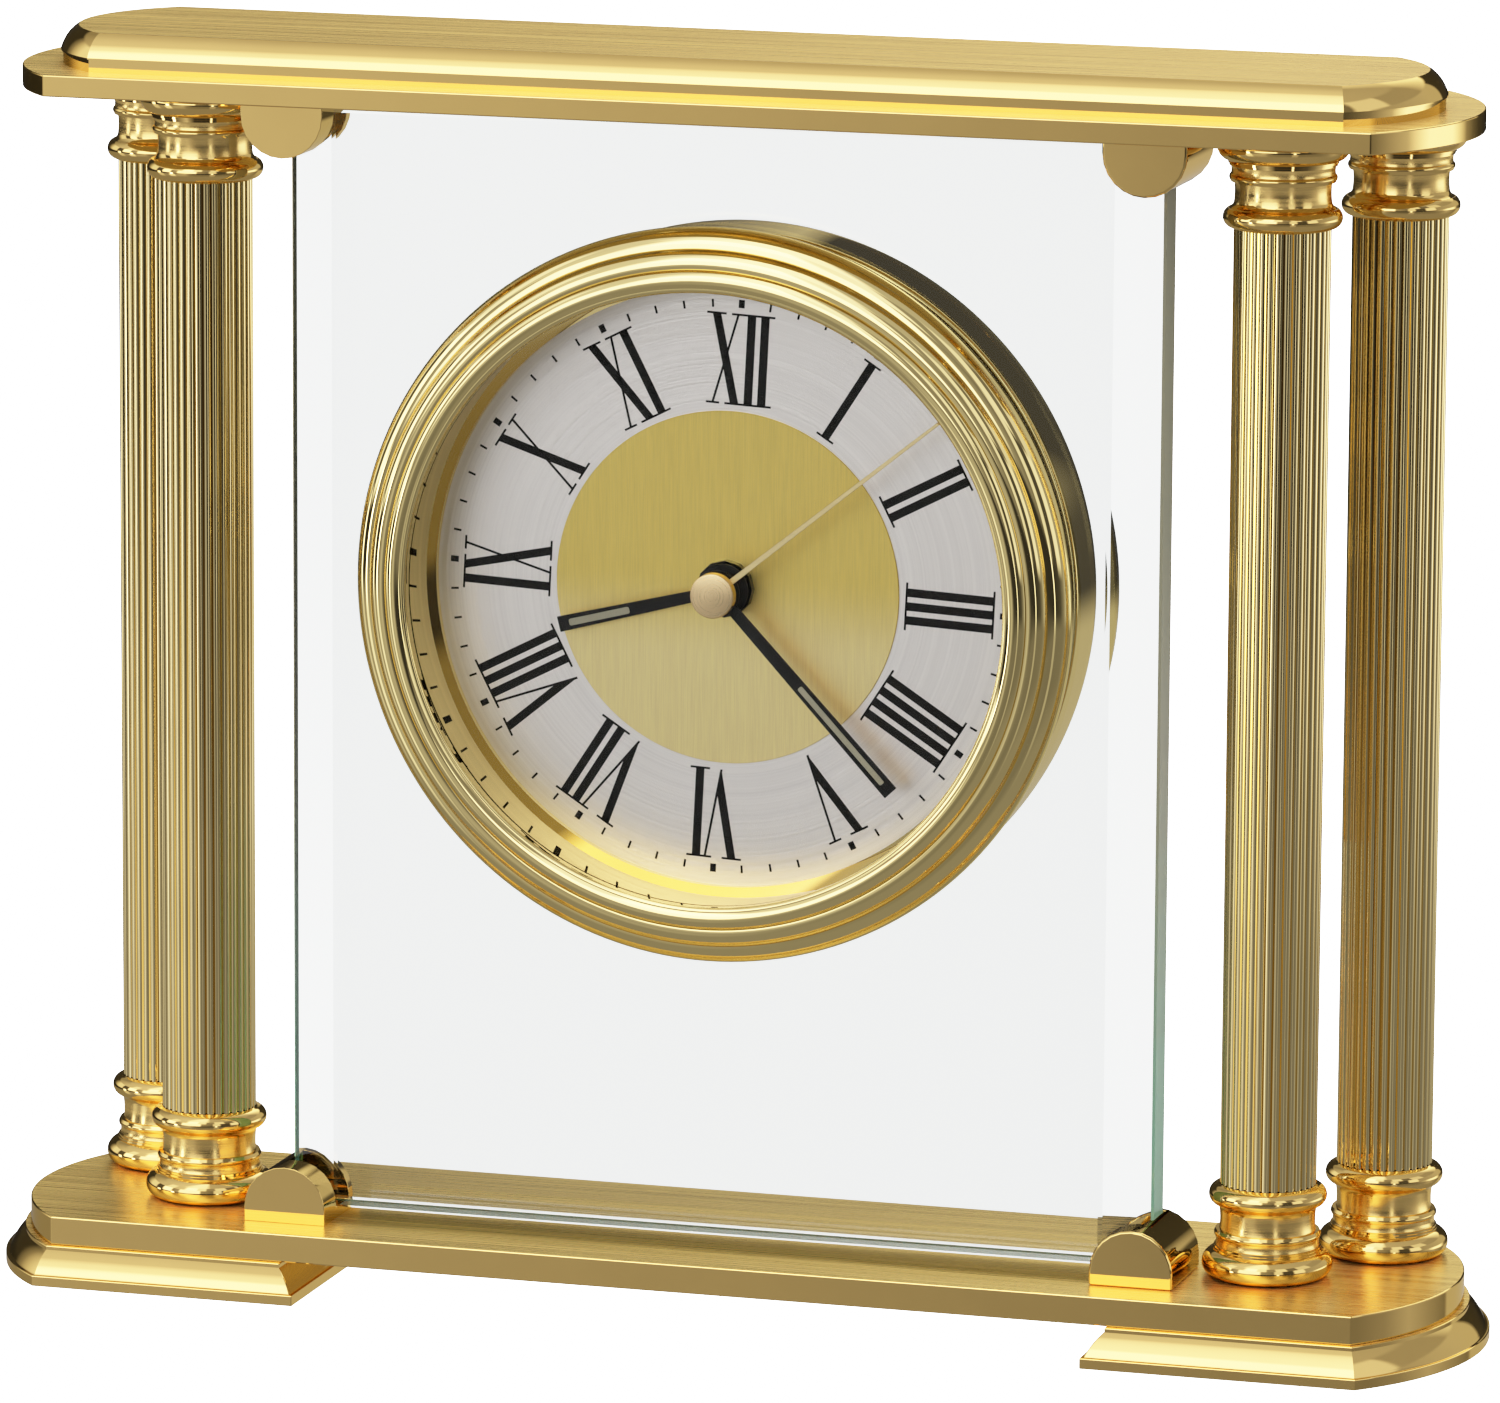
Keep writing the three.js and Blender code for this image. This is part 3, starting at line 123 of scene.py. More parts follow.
class NodeBench:
    """A node tree with one way to add a node."""

    def __init__(self, tree: bpy.types.NodeTree) -> None:
        """Take an empty tree."""
        self.tree = tree
        tree.nodes.clear()

    def node(
        self,
        kind: str,
        settings: Mapping[str, Any] | None = None,
        sockets: Mapping[SocketKey, Any] | None = None,
        out: SocketKey = 0,
    ) -> Wire:
        """Add a node.

        Args:
            kind: The node's type.
            settings: Values set on the node first; stops are a colour ramp's places and colours.
            sockets: Values or wires for its inputs, by name or number.
            out: The output to hand back.

        Returns:
            The chosen output, ready for sums.
        """
        made = self.tree.nodes.new(kind)
        for key, value in (settings or {}).items():
            if key == "stops":
                self._set_stops(made.color_ramp, value)
            else:
                setattr(made, key, value)
        for key, value in (sockets or {}).items():
            if isinstance(value, Wire):
                self.tree.links.new(value.socket, made.inputs[key])
            else:
                made.inputs[key].default_value = value
        return Wire(self, made.outputs[out] if len(made.outputs) else None)

    @staticmethod
    def _set_stops(ramp: bpy.types.ColorRamp, stops: Levels) -> None:
        """Put grey stops on a ramp."""
        while len(ramp.elements) < len(stops):
            ramp.elements.new(1.0)
        for element, (place, level) in zip(ramp.elements, stops):
            element.position = place
            element.color = (level, level, level, 1.0)

    def place(self) -> Wire:
        """Hand back the surface's place in the object's own metres."""
        return self.node("ShaderNodeTexCoord", out="Object")

    def noise(self, where: Wire, scale: float, detail: float = 2.0) -> Wire:
        """Add a noise pattern.

        Args:
            where: The vector that the pattern follows.
            scale: How many lumps lie in one unit of it.
            detail: How many finer layers are added.

        Returns:
            A value from 0 to 1.
        """
        sockets = {"Vector": where, "Scale": scale, "Detail": detail}
        return self.node("ShaderNodeTexNoise", None, sockets)

    def stretched(self, where: Wire, scale: Triple, centre: Triple = (0.0, 0.0, 0.0)) -> Wire:
        """Centre and stretch a vector.

        Args:
            where: The vector to change.
            scale: Lumps to the metre along x, y and z.
            centre: The point that becomes the middle.

        Returns:
            The changed vector.
        """
        moved = [-part * times for part, times in zip(centre, scale)]
        return self.node("ShaderNodeMapping", None, {"Vector": where, "Location": moved, "Scale": scale})

    def between(self, value: Wire, low: float, high: float, start: float = 0.0, end: float = 1.0) -> Wire:
        """Spread a value over a new range.

        Args:
            value: The value to spread.
            low: Its level that gives start.
            high: Its level that gives end.
            start: The result at low and below.
            end: The result at high and above.

        Returns:
            The value in its new range, eased at both ends.
        """
        sockets = {"Value": value, "From Min": low, "From Max": high, "To Min": start, "To Max": end}
        return self.node("ShaderNodeMapRange", {"interpolation_type": "SMOOTHSTEP"}, sockets)

    def blend(self, share: Any, first: Any, second: Any) -> Wire:
        """Mix two colours.

        Args:
            share: How much of the second colour shows.
            first: The colour at 0.
            second: The colour at 1.

        Returns:
            The mixed colour.
        """
        tints = [value if isinstance(value, Wire) else (*value, 1.0) for value in (first, second)]
        return self.node("ShaderNodeMix", {"data_type": "RGBA"}, {0: share, 6: tints[0], 7: tints[1]}, out=2)

    def toned(self, share: Wire, colour: Colour, contrast: float) -> Wire:
        """Run from a darker to a lighter tone of one colour.

        Args:
            share: Nought for the dark tone, one for the light one.
            colour: The colour between them.
            contrast: How far each tone lies from it.

        Returns:
            The tone.
        """
        return self.blend(share, shade(colour, 1 - contrast), shade(colour, 1 + contrast))

    def relief(self, height: Wire, depth: float) -> Wire:
        """Turn a height pattern into a bumped normal.

        Args:
            height: The pattern, from 0 to 1.
            depth: Its depth in millimetres.

        Returns:
            The normal.
        """
        return self.node("ShaderNodeBump", None, {"Strength": 1.0, "Distance": depth * MM, "Height": height})

    def surface(self, sockets: Mapping[SocketKey, Any]) -> None:
        """Close the tree with a principled surface."""
        shader = self.node("ShaderNodeBsdfPrincipled", None, sockets)
        self.node("ShaderNodeOutputMaterial", None, {"Surface": shader})


def shade(colour: Colour, times: float) -> Colour:
    """Lighten or darken a colour."""
    return tuple(min(1.0, part * times) for part in colour)


class Brush(Enum):
    """Which way the fine lines of a brushed face run."""

    LENGTHWISE = "left to right"
    UPRIGHT = "up and down"
    LEVEL = "level rings round an upright piece"
    SPUN = "rings round the dial's centre"


@dataclass(frozen=True)
class Finish:
    """A finish that becomes one Blender material."""

    name: str

    def material(self) -> bpy.types.Material:
        """Hand back the material, made the first time it is asked for."""
        made = bpy.data.materials.get(self.label())
        if made is None:
            made = bpy.data.materials.new(self.label())
            made.use_nodes = True
            self.paint(NodeBench(made.node_tree))
        return made

    def label(self) -> str:
        """Name the material apart from the CAD's own."""
        return f"{self.name}_finish"

    def paint(self, bench: NodeBench) -> None:
        """Lay out the finish's nodes."""
        raise NotImplementedError


@dataclass(frozen=True)
class PolishedMetal(Finish):
    """Bright buffed metal with faint clouding and buffing waves."""

    colour: Colour
    gloss: Pair = (0.015, 0.045)
    clouding: float = 0.06
    wave: float = 0.0015
    rim: Colour = (1.0, 0.88, 0.6)
    cloud_scale: float = 70.0
    haze_scale: float = 260.0
    haze_span: Pair = (0.35, 0.65)
    wave_scale: float = 180.0

    def paint(self, bench: NodeBench) -> None:
        """Lay out clouded colour, uneven gloss and soft waves."""
        where = bench.place()
        cloud = bench.noise(where, self.cloud_scale, detail=3.0)
        haze = bench.noise(where, self.haze_scale, detail=4.0)
        waves = bench.noise(where, self.wave_scale, detail=1.0)
        bench.surface({
            "Base Color": bench.toned(cloud, self.colour, self.clouding),
            "Metallic": 1.0,
            "Specular Tint": (*self.rim, 1.0),
            "Roughness": bench.between(haze, *self.haze_span, *self.gloss),
            "Normal": bench.relief(waves, self.wave),
        })


@dataclass(frozen=True)
class BrushedMetal(Finish):
    """Metal with fine parallel lines left by an abrasive belt or a turning tool."""

    colour: Colour
    brush: Brush
    pitch: float = 0.3
    reach: float = 45.0
    gloss: Pair = (0.2, 0.36)
    contrast: float = 0.12
    depth: float = 0.006
    rim: Colour = (1.0, 0.88, 0.6)
    # below: a paler colour under the dial's centre, painted light that stands in for a bright reflection
    # there; turns: the heights about the centre over which it fades in.
    below: Colour | None = None
    turns: Pair = (-12.0, 3.0)
    broad_pitch: float = 5.0
    broad_reach: float = 1.6
    cloud_scale: float = 45.0
    tone_shares: Triple = (0.7, 0.2, 0.1)
    relief_shares: Pair = (0.9, 0.1)
    ring_drift: float = 0.04
    centre_dot: float = 1.0

    def paint(self, bench: NodeBench) -> None:
        """Lay out streaked colour, streaked gloss and line relief, and paint light below the dial's centre
        where that is asked for.
        """
        streak = bench.noise(self.lines(bench, self.pitch, self.reach), 1.0, detail=3.0)
        broad_lines = self.lines(bench, self.pitch * self.broad_pitch, self.reach * self.broad_reach)
        broad = bench.noise(broad_lines, 1.0, detail=1.0)
        cloud = bench.noise(bench.place(), self.cloud_scale)
        streaky, broadly, cloudy = self.tone_shares
        tone = streak * streaky + broad * broadly + cloud * cloudy
        fine, coarse = self.relief_shares
        bench.surface({
            "Base Color": self.streaked(bench, bench.between(tone, *NOISE_SPAN)),
            "Metallic": 1.0,
            "Specular Tint": (*self.rim, 1.0),
            "Roughness": bench.between(streak, *NOISE_SPAN, *self.gloss),
            "Normal": bench.relief(streak * fine + broad * coarse, self.depth),
        })

    def streaked(self, bench: NodeBench, tone: Wire) -> Wire:
        """Colour the metal, and paint light below the dial's centre where that is asked for: there the lower
        colour stands in for a bright reflection.

        Args:
            bench: Where the nodes go.
            tone: Nought on dark streaks, one on light ones.

        Returns:
            The colour of the metal.
        """
        above = bench.toned(tone, self.colour, self.contrast)
        if self.below is None:
            return above
        # Painted light: these lower tones stand in for the reflection that brightens the lower half.
        below = bench.toned(tone, self.below, self.contrast)
        height = bench.node("ShaderNodeSeparateXYZ", None, {0: bench.place()}, out="Z")
        low, high = ((HEAD_HEIGHT + turn) * MM for turn in self.turns)
        return bench.blend(bench.between(height, low, high), below, above)

    def lines(self, bench: NodeBench, pitch: float, reach: float) -> Wire:
        """Make the vector that draws the lines.

        Args:
            bench: Where the nodes go.
            pitch: Millimetres from line to line.
            reach: Millimetres that one line runs.

        Returns:
            A vector that changes fast across the lines and slowly along them.
        """
        fast = 1.0 / (pitch * MM)
        slow = 1.0 / (reach * MM)
        where = bench.place()
        if self.brush is Brush.LENGTHWISE:
            return bench.stretched(where, (slow, fast, fast))
        if self.brush is Brush.UPRIGHT:
            return bench.stretched(where, (fast, fast, slow))
        if self.brush is Brush.LEVEL:
            return bench.stretched(where, (slow, slow, fast))
        centred = bench.stretched(where, (1.0, 1.0, 1.0), (0.0, 0.0, HEAD_HEIGHT * MM))
        across = bench.node("ShaderNodeSeparateXYZ", None, {0: centred}, out="X")
        upward = bench.node("ShaderNodeSeparateXYZ", None, {0: centred}, out="Z")
        radius = (across * across + upward * upward) ** 0.5
        length = radius + self.centre_dot * MM
        drift = self.ring_drift * slow
        return bench.node("ShaderNodeCombineXYZ", None, {
            "X": radius * fast,
            "Y": across / length * drift,
            "Z": upward / length * drift,
        })


@dataclass(frozen=True)
class ClearGlass(Finish):
    """Polished plate glass with a faint tint in its depth."""

    tint: Colour = (0.6, 0.85, 0.75)
    density: float = 10.0
    mirror: float = 1.0
    wipe_scale: Triple = (30.0, 30.0, 90.0)
    wipe_span: Pair = (0.45, 0.75)
    wipe_gloss: Pair = (0.0, 0.012)

    def paint(self, bench: NodeBench) -> None:
        """Lay out a clear shader with traces of wiping, and a tinted depth."""
        wipe = bench.noise(bench.stretched(bench.place(), self.wipe_scale), 1.0, detail=3.0)
        shader = bench.node("ShaderNodeBsdfPrincipled", None, {
            "Base Color": (*WHITE, 1.0),
            "Roughness": bench.between(wipe, *self.wipe_span, *self.wipe_gloss),
            "IOR": GLASS_IOR,
            "Specular Tint": (self.mirror, self.mirror, self.mirror, 1.0),
            "Transmission Weight": 1.0,
        })
        depth = bench.node("ShaderNodeVolumeAbsorption", None, {
            "Color": (*self.tint, 1.0),
            "Density": self.density,
        })
        bench.node("ShaderNodeOutputMaterial", None, {"Surface": shader, "Volume": depth})


@dataclass(frozen=True)
class GlassEdge(Finish):
    """The long polished edge of plate glass, where the glass shows the green of its depth."""

    above: Colour = (0.36, 0.36, 0.27)
    below: Colour = (0.25, 0.55, 0.43)
    turns: Pair = (25.0, 110.0)
    clear: float = 0.0
    ripple_scale: float = 160.0
    ripple_reach: float = 20.0
    green_gloss: Pair = (0.08, 0.16)
    clear_gloss: Pair = (0.0, 0.02)
    depth: float = 0.01

    def paint(self, bench: NodeBench) -> None:
        """Lay out green that fades upwards, with faint ripples, mixed with clear glass."""
        where = bench.place()
        height = bench.node("ShaderNodeSeparateXYZ", None, {0: where}, out="Z")
        ripple = bench.noise(bench.stretched(where, (1.0, 1.0, self.ripple_scale)), 1.0)
        low, high = (turn * MM for turn in self.turns)
        fade = bench.between(height + ripple * (self.ripple_reach * MM), low, high)
        green = bench.node("ShaderNodeBsdfPrincipled", None, {
            "Base Color": bench.blend(fade, self.below, self.above),
            "Roughness": bench.between(ripple, *NOISE_SPAN, *self.green_gloss),
            "Normal": bench.relief(ripple, self.depth),
        })
        glass = bench.node("ShaderNodeBsdfPrincipled", None, {
            "Roughness": bench.between(ripple, *NOISE_SPAN, *self.clear_gloss),
            "IOR": GLASS_IOR,
            "Transmission Weight": 1.0,
        })
        both = bench.node("ShaderNodeMixShader", None, {0: self.clear, 1: green, 2: glass})
        bench.node("ShaderNodeOutputMaterial", None, {"Surface": both})


@dataclass(frozen=True)
class GrainedCoat(Finish):
    """Paint, ink, plastic, rubber or felt: a dull surface with an even grain."""

    colour: Colour
    grain: float = 0.25
    gloss: Pair = (0.3, 0.45)
    contrast: float = 0.1
    depth: float = 0.01
    sheen: float = 0.0
    mirror: float = 0.5
    cloud_scale: float = 90.0
    tone_shares: Pair = (0.6, 0.4)

    def paint(self, bench: NodeBench) -> None:
        """Lay out speckled colour, speckled gloss and grain relief."""
        where = bench.place()
        speck = bench.noise(where, 1.0 / (self.grain * MM), detail=3.0)
        cloud = bench.noise(where, self.cloud_scale)
        speckled, cloudy = self.tone_shares
        tone = speck * speckled + cloud * cloudy
        bench.surface({
            "Base Color": bench.toned(bench.between(tone, *NOISE_SPAN), self.colour, self.contrast),
            "Roughness": bench.between(speck, *NOISE_SPAN, *self.gloss),
            "Specular IOR Level": self.mirror,
            "Sheen Weight": self.sheen,
            "Normal": bench.relief(speck, self.depth),
        })


@dataclass(frozen=True)
class WoundWire(Finish):
    """Enamelled wire laid side by side round a bobbin."""

    colour: Colour
    pitch: float = 0.35
    band: float = 0.314
    wander: float = 0.15
    seam: float = 0.35
    metal: float = 0.85
    gloss: Pair = (0.45, 0.2)
    depth: float = 0.12

    def paint(self, bench: NodeBench) -> None:
        """Lay out bright wires with painted shade in the seams between them."""
        scale = self.band / (self.pitch * MM)
        sockets = {"Vector": bench.place(), "Scale": scale, "Distortion": self.wander}
        settings = {"bands_direction": "X", "wave_profile": "SIN"}
        wire = bench.node("ShaderNodeTexWave", settings, sockets, out=1)
        bench.surface({
            # Painted shade: the colour is darkened in the seams, where shade falls between the wires.
            "Base Color": bench.blend(wire, shade(self.colour, self.seam), self.colour),
            "Metallic": self.metal,
            "Roughness": bench.between(wire, 0.0, 1.0, *self.gloss),
            "Normal": bench.relief(wire, self.depth),
        })


WHITE: Colour = (1.0, 1.0, 1.0)
BRASS: Colour = (0.92, 0.62, 0.215)
POLISHED_BRASS = PolishedMetal("polished_brass", BRASS)
PALE_BRASS = PolishedMetal("pale_brass", (0.9, 0.71, 0.31), gloss=(0.006, 0.02), wave=0.0006)
REEDED_BRASS = PolishedMetal("reeded_brass", (0.9, 0.71, 0.34), gloss=(0.006, 0.02), wave=0.00005)
LONG_BRUSHED_BRASS = BrushedMetal(
    "long_brushed_brass", (0.93, 0.64, 0.23), Brush.LENGTHWISE,
    pitch=0.18, reach=70.0, gloss=(0.22, 0.36), contrast=0.14, depth=0.01,
)
RING_BRUSHED_BRASS = BrushedMetal(
    "ring_brushed_brass", BRASS, Brush.LEVEL,
    pitch=0.16, reach=40.0, gloss=(0.14, 0.24), contrast=0.06, depth=0.003,
)
# Painted light and shade: darker above the dial's centre and paler below it, standing in for the bright
# reflection on the lower half.
PAINTED_LIGHT_DIAL_BRASS = BrushedMetal(
    "dial_brass_painted_light", (0.82, 0.62, 0.17), Brush.UPRIGHT,
    pitch=0.13, reach=7.0, gloss=(0.38, 0.5), contrast=0.08, below=(0.97, 0.78, 0.36),
)
SPUN_BRASS = BrushedMetal(
    "spun_brass", (0.9, 0.66, 0.36), Brush.SPUN,
    pitch=0.07, gloss=(0.26, 0.36), contrast=0.05, depth=0.003,
)
SATIN_BRASS = BrushedMetal(
    "satin_brass", (0.95, 0.76, 0.38), Brush.LENGTHWISE,
    pitch=0.15, gloss=(0.3, 0.42), contrast=0.05, depth=0.003,
)
SPUN_SILVER = BrushedMetal(
    "spun_silver", (0.95, 0.9, 0.86), Brush.SPUN,
    pitch=0.34, reach=90.0, gloss=(0.36, 0.48), contrast=0.06, depth=0.02, rim=WHITE,
)
DULL_STEEL = BrushedMetal("dull_steel", (0.5, 0.5, 0.5), Brush.LEVEL, gloss=(0.3, 0.45), rim=WHITE)
BLACKENED_STEEL = PolishedMetal("blackened_steel", (0.05, 0.048, 0.045), gloss=(0.12, 0.2), rim=WHITE)
CLEAR_GLASS = ClearGlass("clear_glass")
COATED_GLASS = ClearGlass("coated_glass", mirror=0.12)
GLASS_EDGE = GlassEdge("glass_edge")
# The glass's underside: the green of its depth, painted pale enough to stand in for the light band reflected
# along the panel's bottom edge.
UNDERSIDE_PAINTED_REFLECTION = GlassEdge(
    "glass_underside_reflection_painted", above=(0.7, 0.75, 0.68), below=(0.4, 0.8, 0.65), clear=0.55
)
BLACK_LACQUER = GrainedCoat(
    "black_lacquer", (0.014, 0.013, 0.012), gloss=(0.32, 0.45), depth=0.004, mirror=0.2
)
BLACK_INK = GrainedCoat(
    "black_ink", (0.016, 0.015, 0.014),
    grain=0.15, gloss=(0.4, 0.55), contrast=0.05, depth=0.001, mirror=0.1,
)
PALE_FILLING = GrainedCoat("pale_filling", (0.5, 0.47, 0.33), grain=0.12, gloss=(0.5, 0.7), contrast=0.2)
GREEN_FELT = GrainedCoat(
    "green_felt", (0.03, 0.07, 0.045),
    grain=0.35, gloss=(0.9, 1.0), contrast=0.35, depth=0.12, sheen=0.4,
)
BLACK_RUBBER = GrainedCoat("black_rubber", (0.02, 0.02, 0.019), grain=0.4, gloss=(0.6, 0.75), depth=0.02)
BLACK_PLASTIC = GrainedCoat("black_plastic", (0.022, 0.022, 0.025), grain=0.3, gloss=(0.4, 0.55), depth=0.02)
WHITE_PLASTIC = GrainedCoat("white_plastic", (0.75, 0.73, 0.68), grain=0.5, gloss=(0.35, 0.5), contrast=0.05)
GREEN_BOARD = GrainedCoat("green_board", (0.03, 0.13, 0.06), grain=0.8, gloss=(0.25, 0.4), contrast=0.25)
GREY_SLEEVE = BrushedMetal(
    "grey_sleeve", (0.3, 0.31, 0.33), Brush.LENGTHWISE, gloss=(0.25, 0.4), contrast=0.06, rim=WHITE
)
COPPER_WIRE = WoundWire("copper_wire", (0.72, 0.3, 0.12))


def sharp_edges(shape: BMesh, degrees: float) -> list[BMEdge]:
    """List the edges where two faces meet at more than an angle.

    Args:
        shape: The mesh.
        degrees: The smallest angle between the faces.

    Returns:
        The edges.
    """
    limit = math.radians(degrees)
    return [edge for edge in shape.edges if len(edge.link_faces) == 2 and edge.calc_face_angle() > limit]


def soften(shape: BMesh, edges: Iterable[BMEdge], width: float, segments: int = 2) -> None:
    """Round some edges.

    Args:
        shape: The mesh.
        edges: The edges to round.
        width: Width of the rounding.
        segments: Faces across it.
    """
    bmesh.ops.bevel(
        shape,
        geom=list(edges),
        offset=width,
        offset_type="OFFSET",
        segments=segments,
        profile=0.5,
        affect="EDGES",
        clamp_overlap=True,
        material=-1,
    )


def tidy(shape: BMesh) -> None:
    """Merge doubled points and turn every face outwards."""
    bmesh.ops.remove_doubles(shape, verts=shape.verts[:], dist=MERGE_DISTANCE)
    bmesh.ops.recalc_face_normals(shape, faces=shape.faces[:])


def turn_round(shape: BMesh, angle: float) -> None:
    """Turn a shape round the clock's upright axis."""
    turn = Matrix.Rotation(angle, 3, "Z")
    bmesh.ops.rotate(shape, verts=shape.verts[:], cent=(0, 0, 0), matrix=turn)


def brush_flat_faces(shape: BMesh, direction: Vector, index: int = 1) -> None:
    """Give the flat faces that look one way, either side up, another finish.

    Args:
        shape: The mesh.
        direction: Where the faces look.
        index: The finish's place in the piece's list.
    """
    shape.normal_update()
    for face in shape.faces:
        if abs(face.normal.dot(direction)) > FLAT_ENOUGH:
            face.material_index = index


def merged_copy(node: str) -> BMesh:
    """Copy a CAD node's mesh in millimetres, with its triangles joined.

    Args:
        node: The node's name.

    Returns:
        The copy, with flat faces in one piece.
    """
    shape = bmesh.new()
    shape.from_mesh(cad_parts[node].data)
    bmesh.ops.scale(shape, vec=(1 / MM,) * 3, verts=shape.verts[:])
    bmesh.ops.remove_doubles(shape, verts=shape.verts[:], dist=NODE_MERGE_DISTANCE)
    bmesh.ops.dissolve_limit(
        shape,
        angle_limit=FLAT_ANGLE,
        verts=shape.verts[:],
        edges=shape.edges[:],
        use_dissolve_boundaries=False,
        delimit=set(),
    )
    for face in shape.faces:
        face.material_index = 0
    return shape


@dataclass
class Piece:
    """A finished piece: its mesh, its finishes, and the body and CAD nodes that it belongs to."""

    name: str
    shape: BMesh
    finishes: Sequence[Finish]
    slot: str
    nodes: Sequence[str] = ()
    body: str = STAND
    sharp_from: float = SHARP_ANGLE

    def deliver(self) -> bpy.types.Object:
        """Make the object and hang it on its body.

        Returns:
            The object, at the origin and in metres.
        """
        bmesh.ops.scale(self.shape, vec=(MM,) * 3, verts=self.shape.verts[:])
        self.shape.normal_update()
        for face in self.shape.faces:
            face.smooth = True
        for edge in self.shape.edges:
            edge.smooth = len(edge.link_faces) == 2 and edge.calc_face_angle() < self.sharp_from
        mesh = bpy.data.meshes.new(self.name)
        self.shape.to_mesh(mesh)
        self.shape.free()
        for finish in self.finishes:
            mesh.materials.append(finish.material())
        made = bpy.data.objects.new(self.name, mesh)
        bpy.context.scene.collection.objects.link(made)
        flat = made.modifiers.new("flat_faces_stay_flat", "WEIGHTED_NORMAL")
        flat.keep_sharp = True
        flat.weight = FLAT_FACE_WEIGHT
        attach(made, self.body)
        if self.nodes:
            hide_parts(*self.nodes)
        log.info("%s: %d faces on %s", self.name, len(mesh.polygons), self.body)
        return made


def deliver_for(node: str, shape: BMesh, finishes: Sequence[Finish], slot: str, body: str = STAND) -> None:
    """Deliver a piece that takes a CAD node's place and name.

    Args:
        node: The node's name.
        shape: The piece's mesh.
        finishes: Its finishes.
        slot: The record's slot that it belongs to.
        body: The body that it rides on.
    """
    Piece(f"{node}_dressed", shape, finishes, slot, (node,), body).deliver()


def dress_node(node: str, finish: Finish) -> None:
    """Give a CAD node its finish.

    Args:
        node: The node's name.
        finish: The finish for all of it.
    """
    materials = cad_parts[node].data.materials
    materials.clear()
    materials.append(finish.material())
    log.info("%s: dressed in %s", node, finish.name)


class Contour:
    """Half section of a turned piece, drawn point by point as radius and distance along the axis."""

    def __init__(self, radius: float, along: float) -> None:
        """Start the section at a point."""
        self.shape = bmesh.new()
        self.first = self.shape.verts.new((radius, 0, along))
        self.tip = self.first

    def line(self, *points: Pair) -> "Contour":
        """Draw straight on through some points.

        Args:
            points: Radius and distance along the axis of each.

        Returns:
            The contour.
        """
        for radius, along in points:
            grown = bmesh.ops.extrude_vert_indiv(self.shape, verts=[self.tip])
            self.tip = grown["verts"][0]
            self.tip.co = (radius, 0, along)
        return self

    def arc(self, radius: float, along: float, bulge: float, steps: int = 12) -> "Contour":
        """Draw a round to a point.

        Args:
            radius: Radius of the end point.
            along: Its distance along the axis.
            bulge: Height of the round over the straight line, to the right of the way.
            steps: Lines in the round.

        Returns:
            The contour.
        """
        start = Vector((self.tip.co.x, self.tip.co.z))
        end = Vector((radius, along))
        chord = end - start
        reach = (chord.length_squared / 4 + bulge * bulge) / (2 * abs(bulge))
        side = Vector((chord.y, -chord.x)).normalized() * math.copysign(1, bulge)
        centre = (start + end) / 2 + side * (abs(bulge) - reach)
        angle = 2 * math.asin(min(1.0, chord.length / 2 / reach))
        if abs(bulge) > chord.length / 2:
            angle = 2 * math.pi - angle
        spun = bmesh.ops.spin(
            self.shape,
            geom=[self.tip],
            cent=(centre.x, 0, centre.y),
            axis=(0, 1, 0),
            angle=-math.copysign(angle, bulge),
            steps=steps,
        )
        self.tip = spun["geom_last"][0]
        return self

    def about(self, radius: float, along: float, degrees: float, steps: int = 12) -> "Contour":
        """Draw a round about a centre.

        Args:
            radius: Radius of the centre.
            along: Its distance along the axis.
            degrees: How far the round goes, from outwards to onwards.
            steps: Lines in the round.

        Returns:
            The contour.
        """
        spun = bmesh.ops.spin(
            self.shape,
            geom=[self.tip],
            cent=(radius, 0, along),
            axis=(0, 1, 0),
            angle=-math.radians(degrees),
            steps=steps,
        )
        self.tip = spun["geom_last"][0]
        return self

    def turn(self, steps: int = 160, place: Matrix = HEAD_PLACE @ TO_BACK, closed: bool = True) -> BMesh:
        """Turn the section round its axis.

        Args:
            steps: Faces round the piece.
            place: Where the axis goes.
            closed: Whether the last point joins the first.

        Returns:
            The solid.
        """
        shape = self.shape
        if closed:
            shape.edges.new((self.tip, self.first))
        bmesh.ops.spin(
            shape,
            geom=shape.verts[:] + shape.edges[:],
            cent=(0, 0, 0),
            axis=(0, 0, 1),
            angle=2 * math.pi,
            steps=steps,
            use_merge=True,
        )
        bmesh.ops.transform(shape, matrix=place, verts=shape.verts[:])
        tidy(shape)
        return shape


